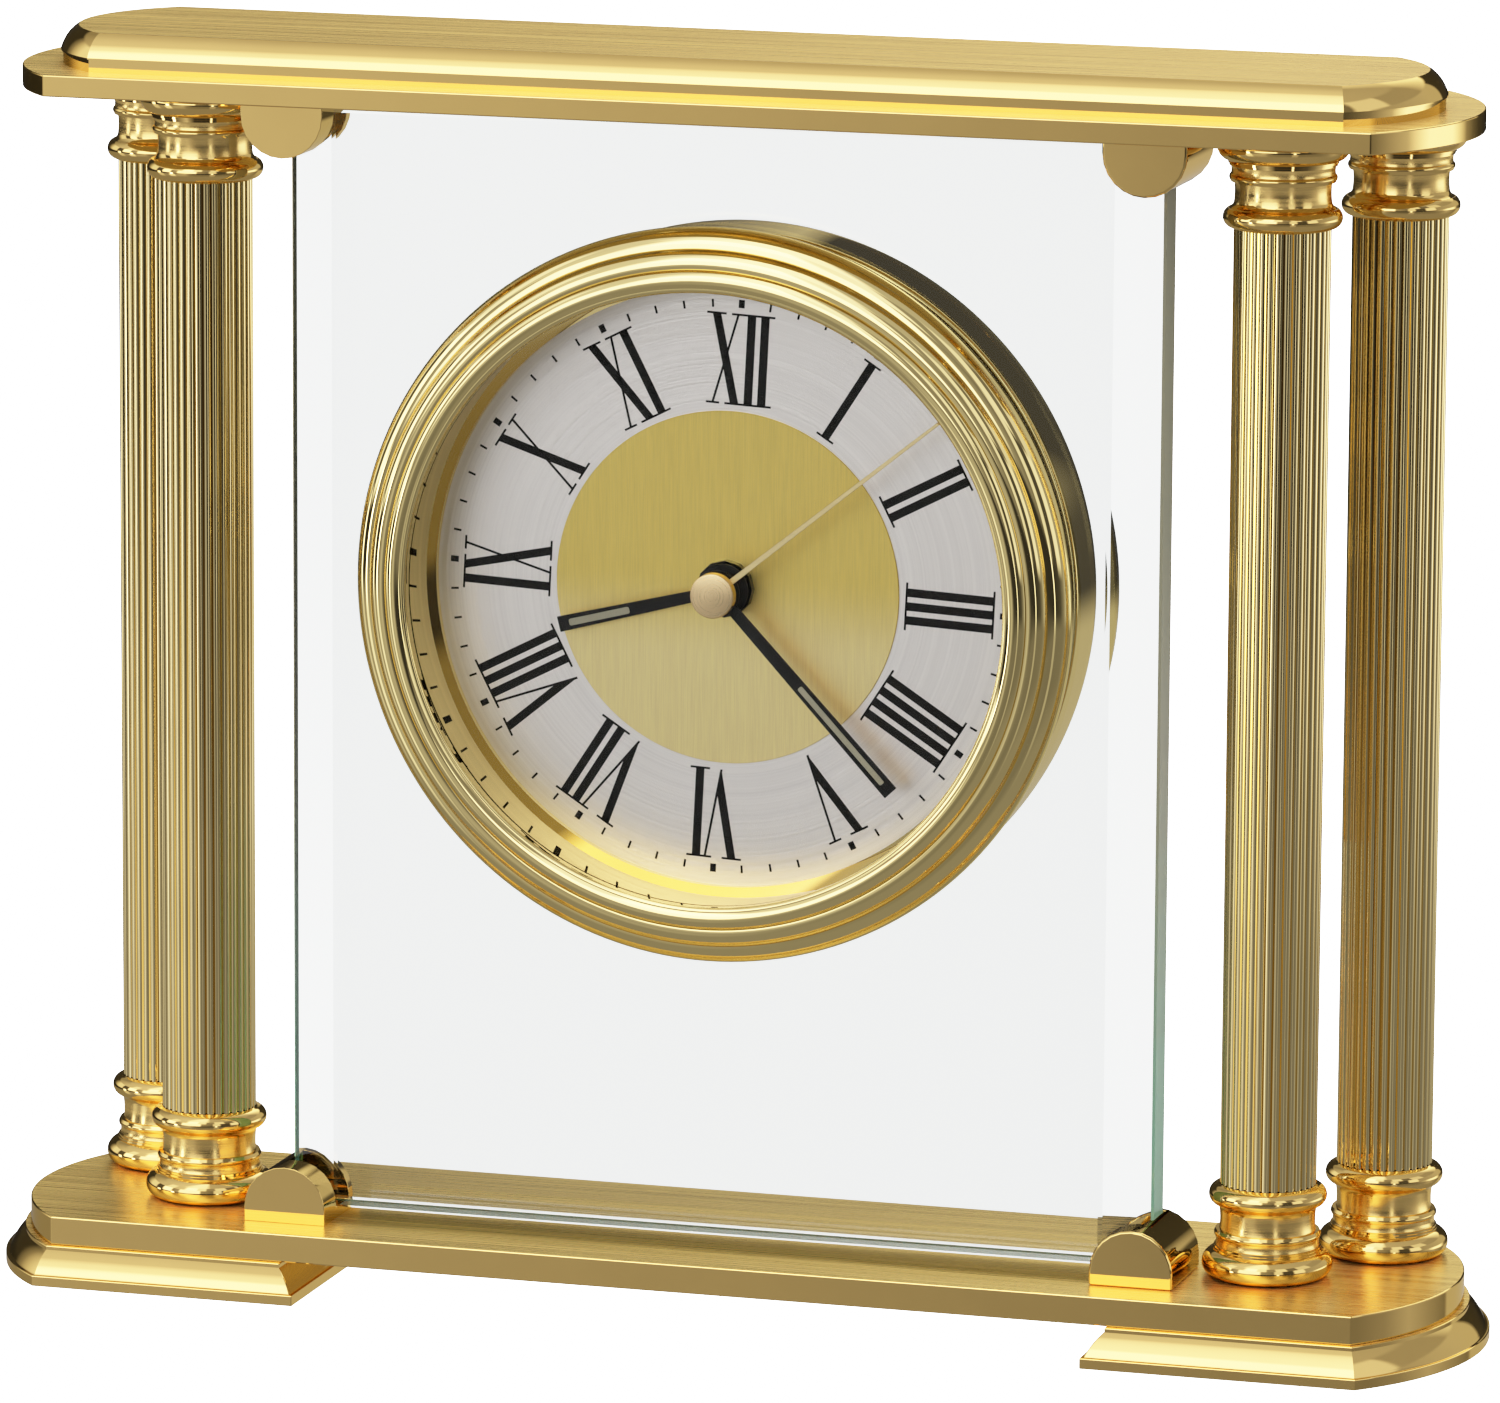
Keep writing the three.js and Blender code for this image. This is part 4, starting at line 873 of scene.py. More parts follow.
@dataclass
class BowedOutline:
    """Plan of a plate with straight long edges and bowed ends."""

    half: float
    depth: float
    bow: float
    steps: int = 48

    def grown(self, growth: float) -> "BowedOutline":
        """Offset the outline.

        Args:
            growth: How far it moves outwards.

        Returns:
            The new outline.
        """
        radius = (self.depth ** 2 / 4 + self.bow ** 2) / (2 * self.bow)
        centre = self.half + self.bow - radius
        side = self.depth / 2 + growth
        half = centre + math.sqrt((radius + growth) ** 2 - side ** 2)
        return BowedOutline(half, 2 * side, centre + radius + growth - half, self.steps)

    def right_end(self, shape: BMesh, height: float) -> tuple[BMVert, BMVert]:
        """Draw the bowed right end.

        Args:
            shape: The mesh to draw in.
            height: Height of the outline.

        Returns:
            The front and back corners.
        """
        radius = (self.depth ** 2 / 4 + self.bow ** 2) / (2 * self.bow)
        front = shape.verts.new((self.half, -self.depth / 2, height))
        spun = bmesh.ops.spin(
            shape,
            geom=[front],
            cent=(self.half + self.bow - radius, 0, height),
            axis=(0, 0, 1),
            angle=2 * math.asin(self.depth / 2 / radius),
            steps=self.steps,
        )
        return front, spun["geom_last"][0]

    def whole(self, shape: BMesh, height: float) -> BMFace:
        """Draw the outline with both ends bowed.

        Args:
            shape: The empty mesh to draw in.
            height: Height of the outline.

        Returns:
            The filled face.
        """
        front, back = self.right_end(shape, height)
        twins = bmesh.ops.duplicate(shape, geom=shape.verts[:] + shape.edges[:])
        turned = [part for part in twins["geom"] if isinstance(part, BMVert)]
        bmesh.ops.rotate(shape, verts=turned, cent=(0, 0, 0), matrix=Matrix.Rotation(math.pi, 3, "Z"))
        shape.edges.new((back, twins["vert_map"][front]))
        shape.edges.new((twins["vert_map"][back], front))
        return self._fill(shape)

    def cut_short(self, shape: BMesh, height: float, inner: float) -> BMFace:
        """Draw the right part of the outline, cut straight across.

        Args:
            shape: The empty mesh to draw in.
            height: Height of the outline.
            inner: Where the straight cut lies.

        Returns:
            The filled face.
        """
        front, back = self.right_end(shape, height)
        near = shape.verts.new((inner, -self.depth / 2, height))
        far = shape.verts.new((inner, self.depth / 2, height))
        for pair in ((back, far), (far, near), (near, front)):
            shape.edges.new(pair)
        return self._fill(shape)

    @staticmethod
    def _fill(shape: BMesh) -> BMFace:
        """Fill the drawn loop with one face that looks up."""
        face = bmesh.ops.contextual_create(shape, geom=shape.edges[:])["faces"][0]
        face.normal_update()
        if face.normal.z < 0:
            face.normal_flip()
        return face


def raise_face(shape: BMesh, face: BMFace, height: float) -> BMFace:
    """Pull a level face straight up or down, and leave no face behind inside a solid.

    Args:
        shape: The mesh.
        face: The face.
        height: How far up it goes.

    Returns:
        The face at its new height.
    """
    joined = any(len(edge.link_faces) > 1 for edge in face.edges)
    grown = bmesh.ops.extrude_face_region(shape, geom=[face])
    top = next(part for part in grown["geom"] if isinstance(part, BMFace))
    bmesh.ops.translate(shape, verts=top.verts[:], vec=(0, 0, height))
    if joined:
        bmesh.ops.delete(shape, geom=[face], context="FACES_ONLY")
    return top


def step_in(shape: BMesh, face: BMFace, inset: float, rise: float = 0.0) -> BMFace:
    """Draw a level face in from its edge, and raise it.

    Args:
        shape: The mesh.
        face: The face.
        inset: How far its edge moves in.
        rise: How far it goes up.

    Returns:
        The smaller face.
    """
    bmesh.ops.inset_region(shape, faces=[face], thickness=inset, depth=0.0, use_even_offset=True)
    bmesh.ops.translate(shape, verts=face.verts[:], vec=(0, 0, rise))
    return face


def slope_in(shape: BMesh, face: BMFace, run: float, rise: float, bulge: float, steps: int = 12) -> None:
    """Draw a level face in and up over a slope that bulges outwards.

    Args:
        shape: The mesh.
        face: The face.
        run: How far its edge moves in.
        rise: How far it goes up.
        bulge: 0 for a flat slope, 1 for a full quarter round.
        steps: Faces up the slope.
    """
    way = []
    for step in range(steps + 1):
        share = step / steps
        angle = share * math.pi / 2
        inward = share * (1 - bulge) + (1 - math.cos(angle)) * bulge
        upward = share * (1 - bulge) + math.sin(angle) * bulge
        way.append((run * inward, rise * upward))
    for (inset, height), (further, higher) in zip(way, way[1:]):
        step_in(shape, face, further - inset, higher - height)


@dataclass
class Stand:
    """Base plate, top plate, cap, feet and pads."""

    plate: BowedOutline = field(default_factory=lambda: BowedOutline(half=111.6, depth=56.5, bow=11.3))
    cap: BowedOutline = field(default_factory=lambda: BowedOutline(half=105.8, depth=45.3, bow=11.1))
    base_heights: Pair = (6.6, 11.4)
    top_heights: Pair = (199.8, 203.4)
    edge_rounding: float = 0.22
    cap_band: float = 2.1
    cap_shadow: float = 0.35
    cap_nose: float = 0.25
    cap_rise: float = 3.85
    cap_run: float = 3.0
    cap_bulge: float = 0.5
    foot_bottom: float = 0.3
    foot_proud: float = 4.3
    foot_lip: float = 1.8
    foot_step: float = 0.6
    foot_slope: float = 3.8
    foot_ledge: float = 1.0
    foot_rim: float = 0.7
    foot_inner: float = 71.8
    foot_bulge: float = 0.3
    foot_rounding: float = 0.15
    pad_margin: float = 3.0
    pad_rounding: float = 0.08
    plate_corner: float = 25.0
    foot_corner: float = 50.0
    level_tolerance: float = 0.01

    def build(self) -> None:
        """Build every piece of the stand."""
        self.build_plate("base_plate", self.base_heights)
        self.build_plate("top_plate", self.top_heights)
        self.build_cap()
        for side, turn in (("left", math.pi), ("right", 0.0)):
            self.build_foot(side, turn)
            self.build_pad(side, turn)

    def build_plate(self, name: str, heights: Pair) -> None:
        """Build a plate with brushed faces and polished edges.

        Args:
            name: The piece and the node that it stands for.
            heights: Height of its lower and upper face.
        """
        shape = bmesh.new()
        face = self.plate.whole(shape, heights[0])
        raise_face(shape, face, heights[1] - heights[0])
        tidy(shape)
        soften(shape, sharp_edges(shape, self.plate_corner), self.edge_rounding)
        brush_flat_faces(shape, Vector((0, 0, 1)))
        deliver_for(name, shape, (POLISHED_BRASS, LONG_BRUSHED_BRASS), "brushed_brass")

    def build_cap(self) -> None:
        """Build the cap: an upright band under a rounded edge."""
        shape = bmesh.new()
        bottom = self.top_heights[1]
        outline = self.cap.whole(shape, bottom + self.cap_band)
        top = raise_face(shape, outline, self.cap_nose)
        slope_in(shape, top, self.cap_run, self.cap_rise, self.cap_bulge)
        step_in(shape, outline, self.cap_shadow)
        raise_face(shape, outline, -self.cap_band)
        tidy(shape)
        brush_flat_faces(shape, Vector((0, 0, 1)))
        deliver_for("top_cap", shape, (POLISHED_BRASS, LONG_BRUSHED_BRASS), "brushed_brass")

    def build_foot(self, side: str, turn: float) -> None:
        """Build a moulded foot.

        Args:
            side: Left or right.
            turn: How far it is turned round from the right side.
        """
        shape = bmesh.new()
        outline = self.plate.grown(self.foot_proud)
        face = outline.cut_short(shape, self.foot_bottom, self.foot_inner - self.foot_proud)
        top = raise_face(shape, face, self.foot_lip)
        step_in(shape, top, self.foot_step)
        run = self.foot_proud - self.foot_step - self.foot_ledge
        slope_in(shape, top, run, self.foot_slope, self.foot_bulge)
        raise_face(shape, top, self.foot_rim)
        turn_round(shape, turn)
        tidy(shape)
        soften(shape, sharp_edges(shape, self.foot_corner), self.foot_rounding)
        shape.normal_update()
        crown = self.foot_bottom + self.foot_lip + self.foot_slope + self.foot_rim - self.level_tolerance
        for part in shape.faces:
            if part.normal.z > FLAT_ENOUGH and part.calc_center_median().z > crown:
                part.material_index = 1
        deliver_for(f"{side}_foot", shape, (POLISHED_BRASS, LONG_BRUSHED_BRASS), "polished_brass")

    def build_pad(self, side: str, turn: float) -> None:
        """Build the felt pad under a foot.

        Args:
            side: Left or right.
            turn: How far it is turned round from the right side.
        """
        shape = bmesh.new()
        growth = self.foot_proud - self.pad_margin
        face = self.plate.grown(growth).cut_short(shape, 0.0, self.foot_inner - growth)
        raise_face(shape, face, self.foot_bottom)
        turn_round(shape, turn)
        tidy(shape)
        soften(shape, sharp_edges(shape, self.foot_corner), self.pad_rounding)
        Piece(f"{side}_pad_dressed", shape, (GREEN_FELT,), "green_felt", (f"{side}_foot_pad",)).deliver()


@dataclass
class Columns:
    """Four reeded columns, each with a turned base and capital."""

    places: Mapping[str, Pair] = field(default_factory=lambda: {
        "front_left": (-91.8, -4.6),
        "front_right": (91.8, -4.6),
        "back_left": (-106.4, 16.2),
        "back_right": (106.4, 16.2),
    })
    bottom: float = 11.4
    top: float = 199.8
    shaft_radius: float = 7.9
    shaft_heights: Pair = (26.4, 184.8)
    reeds: int = 34
    reed_depth: float = 0.5
    reed_points: int = 8
    bolt_hole: float = 2.3
    hole_wall: float = 1.0
    brushed_bands: Sequence[Pair] = ((5.25, 6.6), (7.9, 11.1))
    turn_steps: int = 96

    def build(self) -> None:
        """Build every column and dress its bolt."""
        for place, (x, y) in self.places.items():
            self.build_shaft(place, x, y)
            base = Matrix.Translation((x, y, self.bottom))
            capital = Matrix.Translation((x, y, self.top)) @ Matrix.Rotation(math.pi, 4, "X")
            self.build_end(f"{place}_column_base", base)
            self.build_end(f"{place}_column_capital", capital)
            dress_node(f"{place}_column_bolt", DULL_STEEL)

    def build_end(self, name: str, place: Matrix) -> None:
        """Build a turned end piece.

        Args:
            name: The piece and the node that it stands for.
            place: Where it stands, and which way up.
        """
        contour = Contour(self.bolt_hole, 0.0)
        contour.line((9.0, 0.0)).arc(9.15, 4.4, 1.65, 16)
        contour.line((8.95, 4.45), (8.95, 4.8), (8.75, 4.85), (8.75, 5.2), (8.5, 5.25))
        contour.arc(8.45, 6.6, -0.08, 6).arc(8.6, 7.6, 0.22, 8).line((8.5, 7.85), (7.9, 7.9))
        contour.arc(7.9, 11.1, -0.1, 10).arc(8.75, 12.2, -0.2, 8)
        contour.line((8.85, 12.2)).arc(8.2, 15.4, 1.15, 18)
        contour.line((7.95, 15.5), (7.95, 15.0), (self.bolt_hole, 15.0))
        shape = contour.turn(self.turn_steps, place)
        home = place.inverted()
        for face in shape.faces:
            centre = home @ face.calc_center_median()
            outside = math.hypot(centre.x, centre.y) > self.bolt_hole + self.hole_wall
            if outside and any(low < centre.z < high for low, high in self.brushed_bands):
                face.material_index = 1
        deliver_for(name, shape, (POLISHED_BRASS, RING_BRUSHED_BRASS), "polished_brass")

    def build_shaft(self, place: str, x: float, y: float) -> None:
        """Build a reeded shaft.

        Args:
            place: Which column.
            x: Its axis across.
            y: Its axis in depth.
        """
        shape = bmesh.new()
        count = self.reeds * self.reed_points
        bmesh.ops.create_circle(shape, cap_ends=True, segments=count, radius=self.shaft_radius)
        for vert in shape.verts:
            turn = math.atan2(vert.co.y, vert.co.x) / (2 * math.pi) * self.reeds
            across = 2 * (turn - math.floor(turn)) - 1
            drop = self.reed_depth * (1 - math.sqrt(max(0.0, 1 - across * across)))
            vert.co.xy *= 1 - drop / self.shaft_radius
        low, high = self.shaft_heights
        raise_face(shape, shape.faces[:][0], high - low)
        bmesh.ops.translate(shape, verts=shape.verts[:], vec=(x, y, low))
        tidy(shape)
        deliver_for(f"{place}_column_shaft", shape, (REEDED_BRASS,), "polished_brass")


@dataclass
class GlassPanel:
    """Plate glass with a bevel along each upright edge and a round hole, held by four brass clips."""

    half: float = 74.3
    heights: Pair = (13.3, 197.9)
    front: float = -14.35
    back: float = -4.85
    bevel_width: float = 8.3
    bevel_depth: float = 2.7
    hole_radius: float = 54.3
    hole_steps: int = 144
    arris: float = 0.4
    arris_from: float = 10.0
    side_from: float = 0.5
    underside_from: float = 0.95
    shaded_flat_from: float = math.radians(3)
    clip_rounding: float = 0.45
    clip_corner: float = 40.0
    clips: Sequence[str] = ("lower_left", "lower_right", "upper_left", "upper_right")

    def build(self) -> None:
        """Build the panel and its clips."""
        self.build_panel()
        for clip in self.clips:
            name = f"{clip}_glass_clip"
            shape = merged_copy(name)
            soften(shape, sharp_edges(shape, self.clip_corner), self.clip_rounding, segments=3)
            deliver_for(name, shape, (POLISHED_BRASS,), "polished_brass")
            dress_node(f"{clip}_clip_screw", DULL_STEEL)

    def build_panel(self) -> None:
        """Build the panel, drawn flat with its bevelled face up, then stood upright."""
        shape = bmesh.new()
        low, high = self.heights
        middle = (low + high) / 2
        place = Matrix.Translation((0, middle, 0)) @ Matrix.Diagonal((self.half, (high - low) / 2, 1, 1))
        bmesh.ops.create_grid(shape, x_segments=1, y_segments=1, size=1, matrix=place)
        back = shape.faces[:][0]
        shoulder = raise_face(shape, back, self.back - self.front - self.bevel_depth)
        front = raise_face(shape, shoulder, self.bevel_depth)
        narrower = (self.half - self.bevel_width) / self.half
        bmesh.ops.scale(shape, vec=(narrower, 1, 1), verts=front.verts[:])
        tidy(shape)
        soften(shape, sharp_edges(shape, self.arris_from), self.arris, segments=1)
        self.pierce(shape)
        upright = Matrix.Translation((0, self.back, 0)) @ TO_FRONT
        bmesh.ops.transform(shape, matrix=upright, verts=shape.verts[:])
        tidy(shape)
        shape.normal_update()
        for face in shape.faces:
            if abs(face.normal.x) > self.side_from:
                face.material_index = 1
            elif face.normal.z < -self.underside_from:
                face.material_index = 2
        # The third finish, on the underside, carries a painted reflection.
        finishes = (CLEAR_GLASS, GLASS_EDGE, UNDERSIDE_PAINTED_REFLECTION)
        panel = Piece("glass_panel_dressed", shape, finishes, "clear_glass", ("glass_panel",))
        panel.sharp_from = self.shaded_flat_from
        panel.deliver()

    def pierce(self, shape: BMesh) -> None:
        """Cut the round hole through the two large faces.

        Args:
            shape: The flat panel.
        """
        shape.faces.ensure_lookup_table()
        shape.normal_update()
        large = sorted(shape.faces, key=lambda face: -face.calc_area())[:2]
        rims = []
        for face in large:
            level = face.calc_center_median().z
            loop = face.edges[:]
            bmesh.ops.delete(shape, geom=[face], context="FACES_ONLY")
            ring = bmesh.ops.create_circle(
                shape,
                cap_ends=False,
                segments=self.hole_steps,
                radius=self.hole_radius,
                matrix=Matrix.Translation((0, HEAD_HEIGHT, level)),
            )
            rim = list({edge for vert in ring["verts"] for edge in vert.link_edges})
            bmesh.ops.triangle_fill(shape, use_beauty=True, use_dissolve=False, edges=loop + rim)
            rims += rim
        bmesh.ops.bridge_loops(shape, edges=rims)


class FootEnd(Enum):
    """How the foot of a numeral's stroke ends."""

    SERIF = "on a level bar"
    POINT = "in a point"
    PLAIN = "against the stroke beside it"


@dataclass(frozen=True)
class Stroke:
    """One stroke of a numeral: the places of its foot and head, its width, and how its foot ends."""

    foot: float
    head: float
    width: float
    end: FootEnd = FootEnd.SERIF


@dataclass
class Numerals:
    """Roman numerals and minute track printed on the dial, drawn upright at twelve and turned into place."""

    front: float = -7.85
    thickness: float = 0.05
    turn: float = 2.7
    inner: float = 30.5
    height: float = 14.8
    stem: float = 1.42
    hairline: float = 0.38
    serif: float = 0.34
    overhang: float = 0.95
    pitch: float = 2.3
    after_v: float = 1.5
    v_left: float = -2.45
    v_right: float = 2.15
    x_half: float = 1.85
    track_radius: float = 47.1
    minute_tick: Pair = (0.35, 1.3)
    hour_tick: Pair = (1.0, 1.35)
    words: Sequence[str] = ("XII", "I", "II", "III", "IIII", "V", "VI", "VII", "VIII", "IX", "X", "XI")

    def build(self) -> None:
        """Print the numerals and the track."""
        numerals = bmesh.new()
        for hour, word in enumerate(self.words):
            self.print_word(numerals, word, self.turn + 30 * hour)
        Piece("dial_numerals", numerals, (BLACK_INK,), "black_paint").deliver()
        track = bmesh.new()
        for minute in range(60):
            width, height = self.minute_tick if minute % 5 else self.hour_tick
            middle = self.track_radius
            ends = (0.0, middle - height / 2), (0.0, middle + height / 2)
            self.place(track, self.draw(track, *ends, width), self.turn + 6 * minute)
        Piece("dial_minute_track", track, (BLACK_INK,), "black_paint").deliver()

    def draw(self, shape: BMesh, low: Pair, high: Pair, width: float) -> list[BMVert]:
        """Draw one stroke with level ends.

        Args:
            shape: The mesh to draw in.
            low: Middle of its lower end.
            high: Middle of its upper end.
            width: Its level width.

        Returns:
            The stroke's corners.
        """
        rows = (
            (width, high[0] - low[0], 0, (low[0] + high[0]) / 2),
            (0, high[1] - low[1], 0, (low[1] + high[1]) / 2),
            (0, 0, self.thickness, self.thickness / 2),
            (0, 0, 0, 1),
        )
        return bmesh.ops.create_cube(shape, size=1, matrix=Matrix(rows))["verts"]

    def place(self, shape: BMesh, verts: Sequence[BMVert], clockwise: float) -> None:
        """Stand strokes on the dial.

        Args:
            shape: The mesh they lie in.
            verts: Their corners.
            clockwise: Degrees from upright.
        """
        turn = Matrix.Rotation(math.radians(clockwise), 4, "Y")
        stand = Matrix.Translation((0, self.front, HEAD_HEIGHT)) @ turn @ TO_FRONT
        bmesh.ops.transform(shape, matrix=stand, verts=list(verts))

    def print_word(self, shape: BMesh, word: str, clockwise: float) -> None:
        """Print one numeral.

        Args:
            shape: The mesh to print in.
            word: The numeral's letters.
            clockwise: Degrees from upright.
        """
        strokes = self.lay_out(word)
        ends = [end for stroke in strokes for end in (stroke.foot, stroke.head)]
        middle = (min(ends) + max(ends)) / 2
        verts = []
        low, high = self.inner, self.inner + self.height
        for stroke in strokes:
            foot, head = stroke.foot - middle, stroke.head - middle
            corners = self.draw(shape, (foot, low), (head, high), stroke.width)
            verts += corners
            if stroke.end is FootEnd.POINT:
                self.point(corners, foot, head)
            bars = [(foot, low), (head, high)] if stroke.end is FootEnd.SERIF else [(head, high)]
            for x, level in bars:
                bar = (x, level - self.serif / 2), (x, level + self.serif / 2)
                verts += self.draw(shape, *bar, 2 * (stroke.width / 2 + self.overhang))
        self.place(shape, verts, clockwise)

    def lay_out(self, word: str) -> list[Stroke]:
        """Place a numeral's strokes side by side.

        Args:
            word: The numeral's letters.

        Returns:
            The strokes, from left to right.
        """
        strokes = []
        at = 0.0
        for letter, following in zip(word, word[1:] + " "):
            if letter == "I":
                strokes.append(Stroke(at, at, self.stem))
                at += self.pitch + (self.x_half if following == "X" else 0.0)
            elif letter == "V":
                strokes.append(Stroke(at, at + self.v_left, self.stem, FootEnd.POINT))
                strokes.append(Stroke(at, at + self.v_right, self.hairline, FootEnd.PLAIN))
                at += self.v_right + self.after_v
            else:
                strokes.append(Stroke(at + self.x_half, at - self.x_half, self.stem))
                strokes.append(Stroke(at - self.x_half, at + self.x_half, self.hairline))
                at += self.x_half + self.pitch
        return strokes

    def point(self, corners: Sequence[BMVert], foot: float, head: float) -> None:
        """Bring the foot of the letter V's wide stroke to a point.

        Args:
            corners: The stroke's corners.
            foot: Where the point lies.
            head: Middle of the stroke's upper end.
        """
        span = self.v_right - self.v_left + (self.hairline + self.stem) / 2
        meeting = self.height * self.stem / span
        lean = (head - self.stem / 2 - foot) / self.height
        for vert in corners:
            if vert.co.y > self.inner + self.height / 2:
                continue
            if vert.co.x > foot:
                vert.co.x = foot + self.stem + lean * meeting
                vert.co.y = self.inner + meeting
            else:
                vert.co.x = foot


@dataclass
class Head:
    """Bezel, crystal, dial and the drum behind the glass."""

    bezel_radius: float = 60.8
    glass_front: float = -14.35
    flange: float = 3.1
    reed_width: float = 3.1
    reed_rises: Sequence[float] = (2.9, 2.0, 0.9)
    reed_bulge: float = 0.75
    flange_bulge: float = 0.35
    lip_round: float = 0.65
    lip_bulge: float = 0.25
    lip_radius: float = 50.7
    lip_front: float = -23.25
    lip_back: float = -21.35
    crystal_back: float = -20.35
    wall_back: float = -9.05
    dial_front: float = -7.85
    dial_back: float = -7.05
    neck_end: float = -1.85
    neck_radius: float = 54.0
    bore_radius: float = 52.3
    insert_radius: float = 52.0
    insert_edge: float = 0.06
    crystal_gap: float = 0.05
    wall_radius: float = 50.75
    dial_radius: float = 49.9
    centre_radius: float = 29.3
    centre_front: float = -8.15
    hole_radius: float = 3.35
    drum_radius: float = 59.2
    drum_front: float = -4.35
    drum_back: float = 14.65
    drum_edge: float = 0.8
    drum_edge_bulge: float = 0.23
    drum_play: float = 0.3
    drum_wall: float = 1.4
    drum_web: float = 2.0
    drum_round: float = 10.0
    cover_back: float = 16.65

    def build(self) -> None:
        """Build every piece of the head and print the dial."""
        self.build_bezel()
        outer, hole, middle = self.insert_radius, self.hole_radius, self.centre_radius
        crystal = self.lip_back + self.crystal_gap, self.crystal_back - self.crystal_gap
        wall = self.crystal_back, self.wall_back
        rim = self.wall_back, self.dial_front
        plate = self.dial_front, self.dial_back
        centre = self.centre_front, self.dial_front
        self.build_ring("crystal", (0.0, outer), crystal, COATED_GLASS, "clear_glass")
        self.build_ring("reflector_ring", (self.wall_radius, outer), wall, PALE_BRASS, "polished_brass")
        self.build_ring("dial_ring", (self.dial_radius, outer), rim, PALE_BRASS, "polished_brass")
        self.build_ring("dial_plate", (hole, outer), plate, SPUN_SILVER, "silvered_metal")
        self.build_ring("dial_centre", (hole, middle), centre, PAINTED_LIGHT_DIAL_BRASS, "brushed_brass")
        self.build_drum()
        dress_node("rear_gasket", BLACK_RUBBER)
        dress_node("retaining_ring", DULL_STEEL)
        dress_node("centre_nut", BLACKENED_STEEL)
        Numerals(front=self.dial_front).build()

    def build_bezel(self) -> None:
        """Build the bezel: three rounded reeds that step forward to a thin lip, and the neck behind."""
        radius, depth = self.bezel_radius, self.glass_front - self.flange
        contour = Contour(self.neck_radius, self.glass_front)
        contour.line((radius - self.reed_bulge, self.glass_front))
        contour.arc(radius, depth, -self.flange_bulge, steps=8)
        for rise in self.reed_rises:
            radius -= self.reed_width
            depth -= rise
            contour.arc(radius, depth, -self.reed_bulge, steps=14)
        contour.arc(self.lip_radius, self.lip_front + self.lip_round, -self.lip_bulge, steps=6)
        contour.line(
            (self.lip_radius, self.lip_back),
            (self.bore_radius, self.lip_back),
            (self.bore_radius, self.neck_end),
            (self.neck_radius, self.neck_end),
        )
        deliver_for("bezel", contour.turn(FULL_TURN_STEPS), (PALE_BRASS,), "polished_brass")

    def build_ring(
        self, name: str, radii: Pair, depths: Pair, finish: Finish, slot: str
    ) -> None:
        """Build a flat ring or disc with broken edges.

        Args:
            name: The piece and the node that it stands for.
            radii: Radius of its hole, or 0, and its outer radius.
            depths: Depth of its front face and of its back face.
            finish: Its finish.
            slot: The record's slot for that finish.
        """
        inner, outer = radii
        front, back = depths
        edge = self.insert_edge
        contour = Contour(inner, front)
        contour.line((outer - edge, front), (outer, front + edge), (outer, back), (inner, back))
        deliver_for(name, contour.turn(FULL_TURN_STEPS, closed=inner > 0), (finish,), slot)

    def build_drum(self) -> None:
        """Build the open drum behind the glass, with its back edge rounded inwards."""
        bore = self.neck_radius + self.drum_play
        flat = self.drum_radius - self.drum_round
        start = self.cover_back - self.drum_round
        hollow = self.drum_round - self.drum_wall
        run = self.drum_back - start
        outer, inner = (math.degrees(math.asin(run / reach)) for reach in (self.drum_round, hollow))
        web = self.drum_front + self.drum_web
        contour = Contour(bore, self.drum_front)
        contour.line((self.drum_radius - self.drum_edge, self.drum_front))
        contour.arc(self.drum_radius, self.drum_front + self.drum_edge, self.drum_edge_bulge, steps=6)
        contour.line((self.drum_radius, start)).about(flat, start, outer)
        contour.line((flat + hollow * math.cos(math.radians(inner)), self.drum_back))
        contour.about(flat, start, -inner).line((flat + hollow, web), (bore, web))
        deliver_for("drum", contour.turn(FULL_TURN_STEPS), (PALE_BRASS,), "polished_brass")


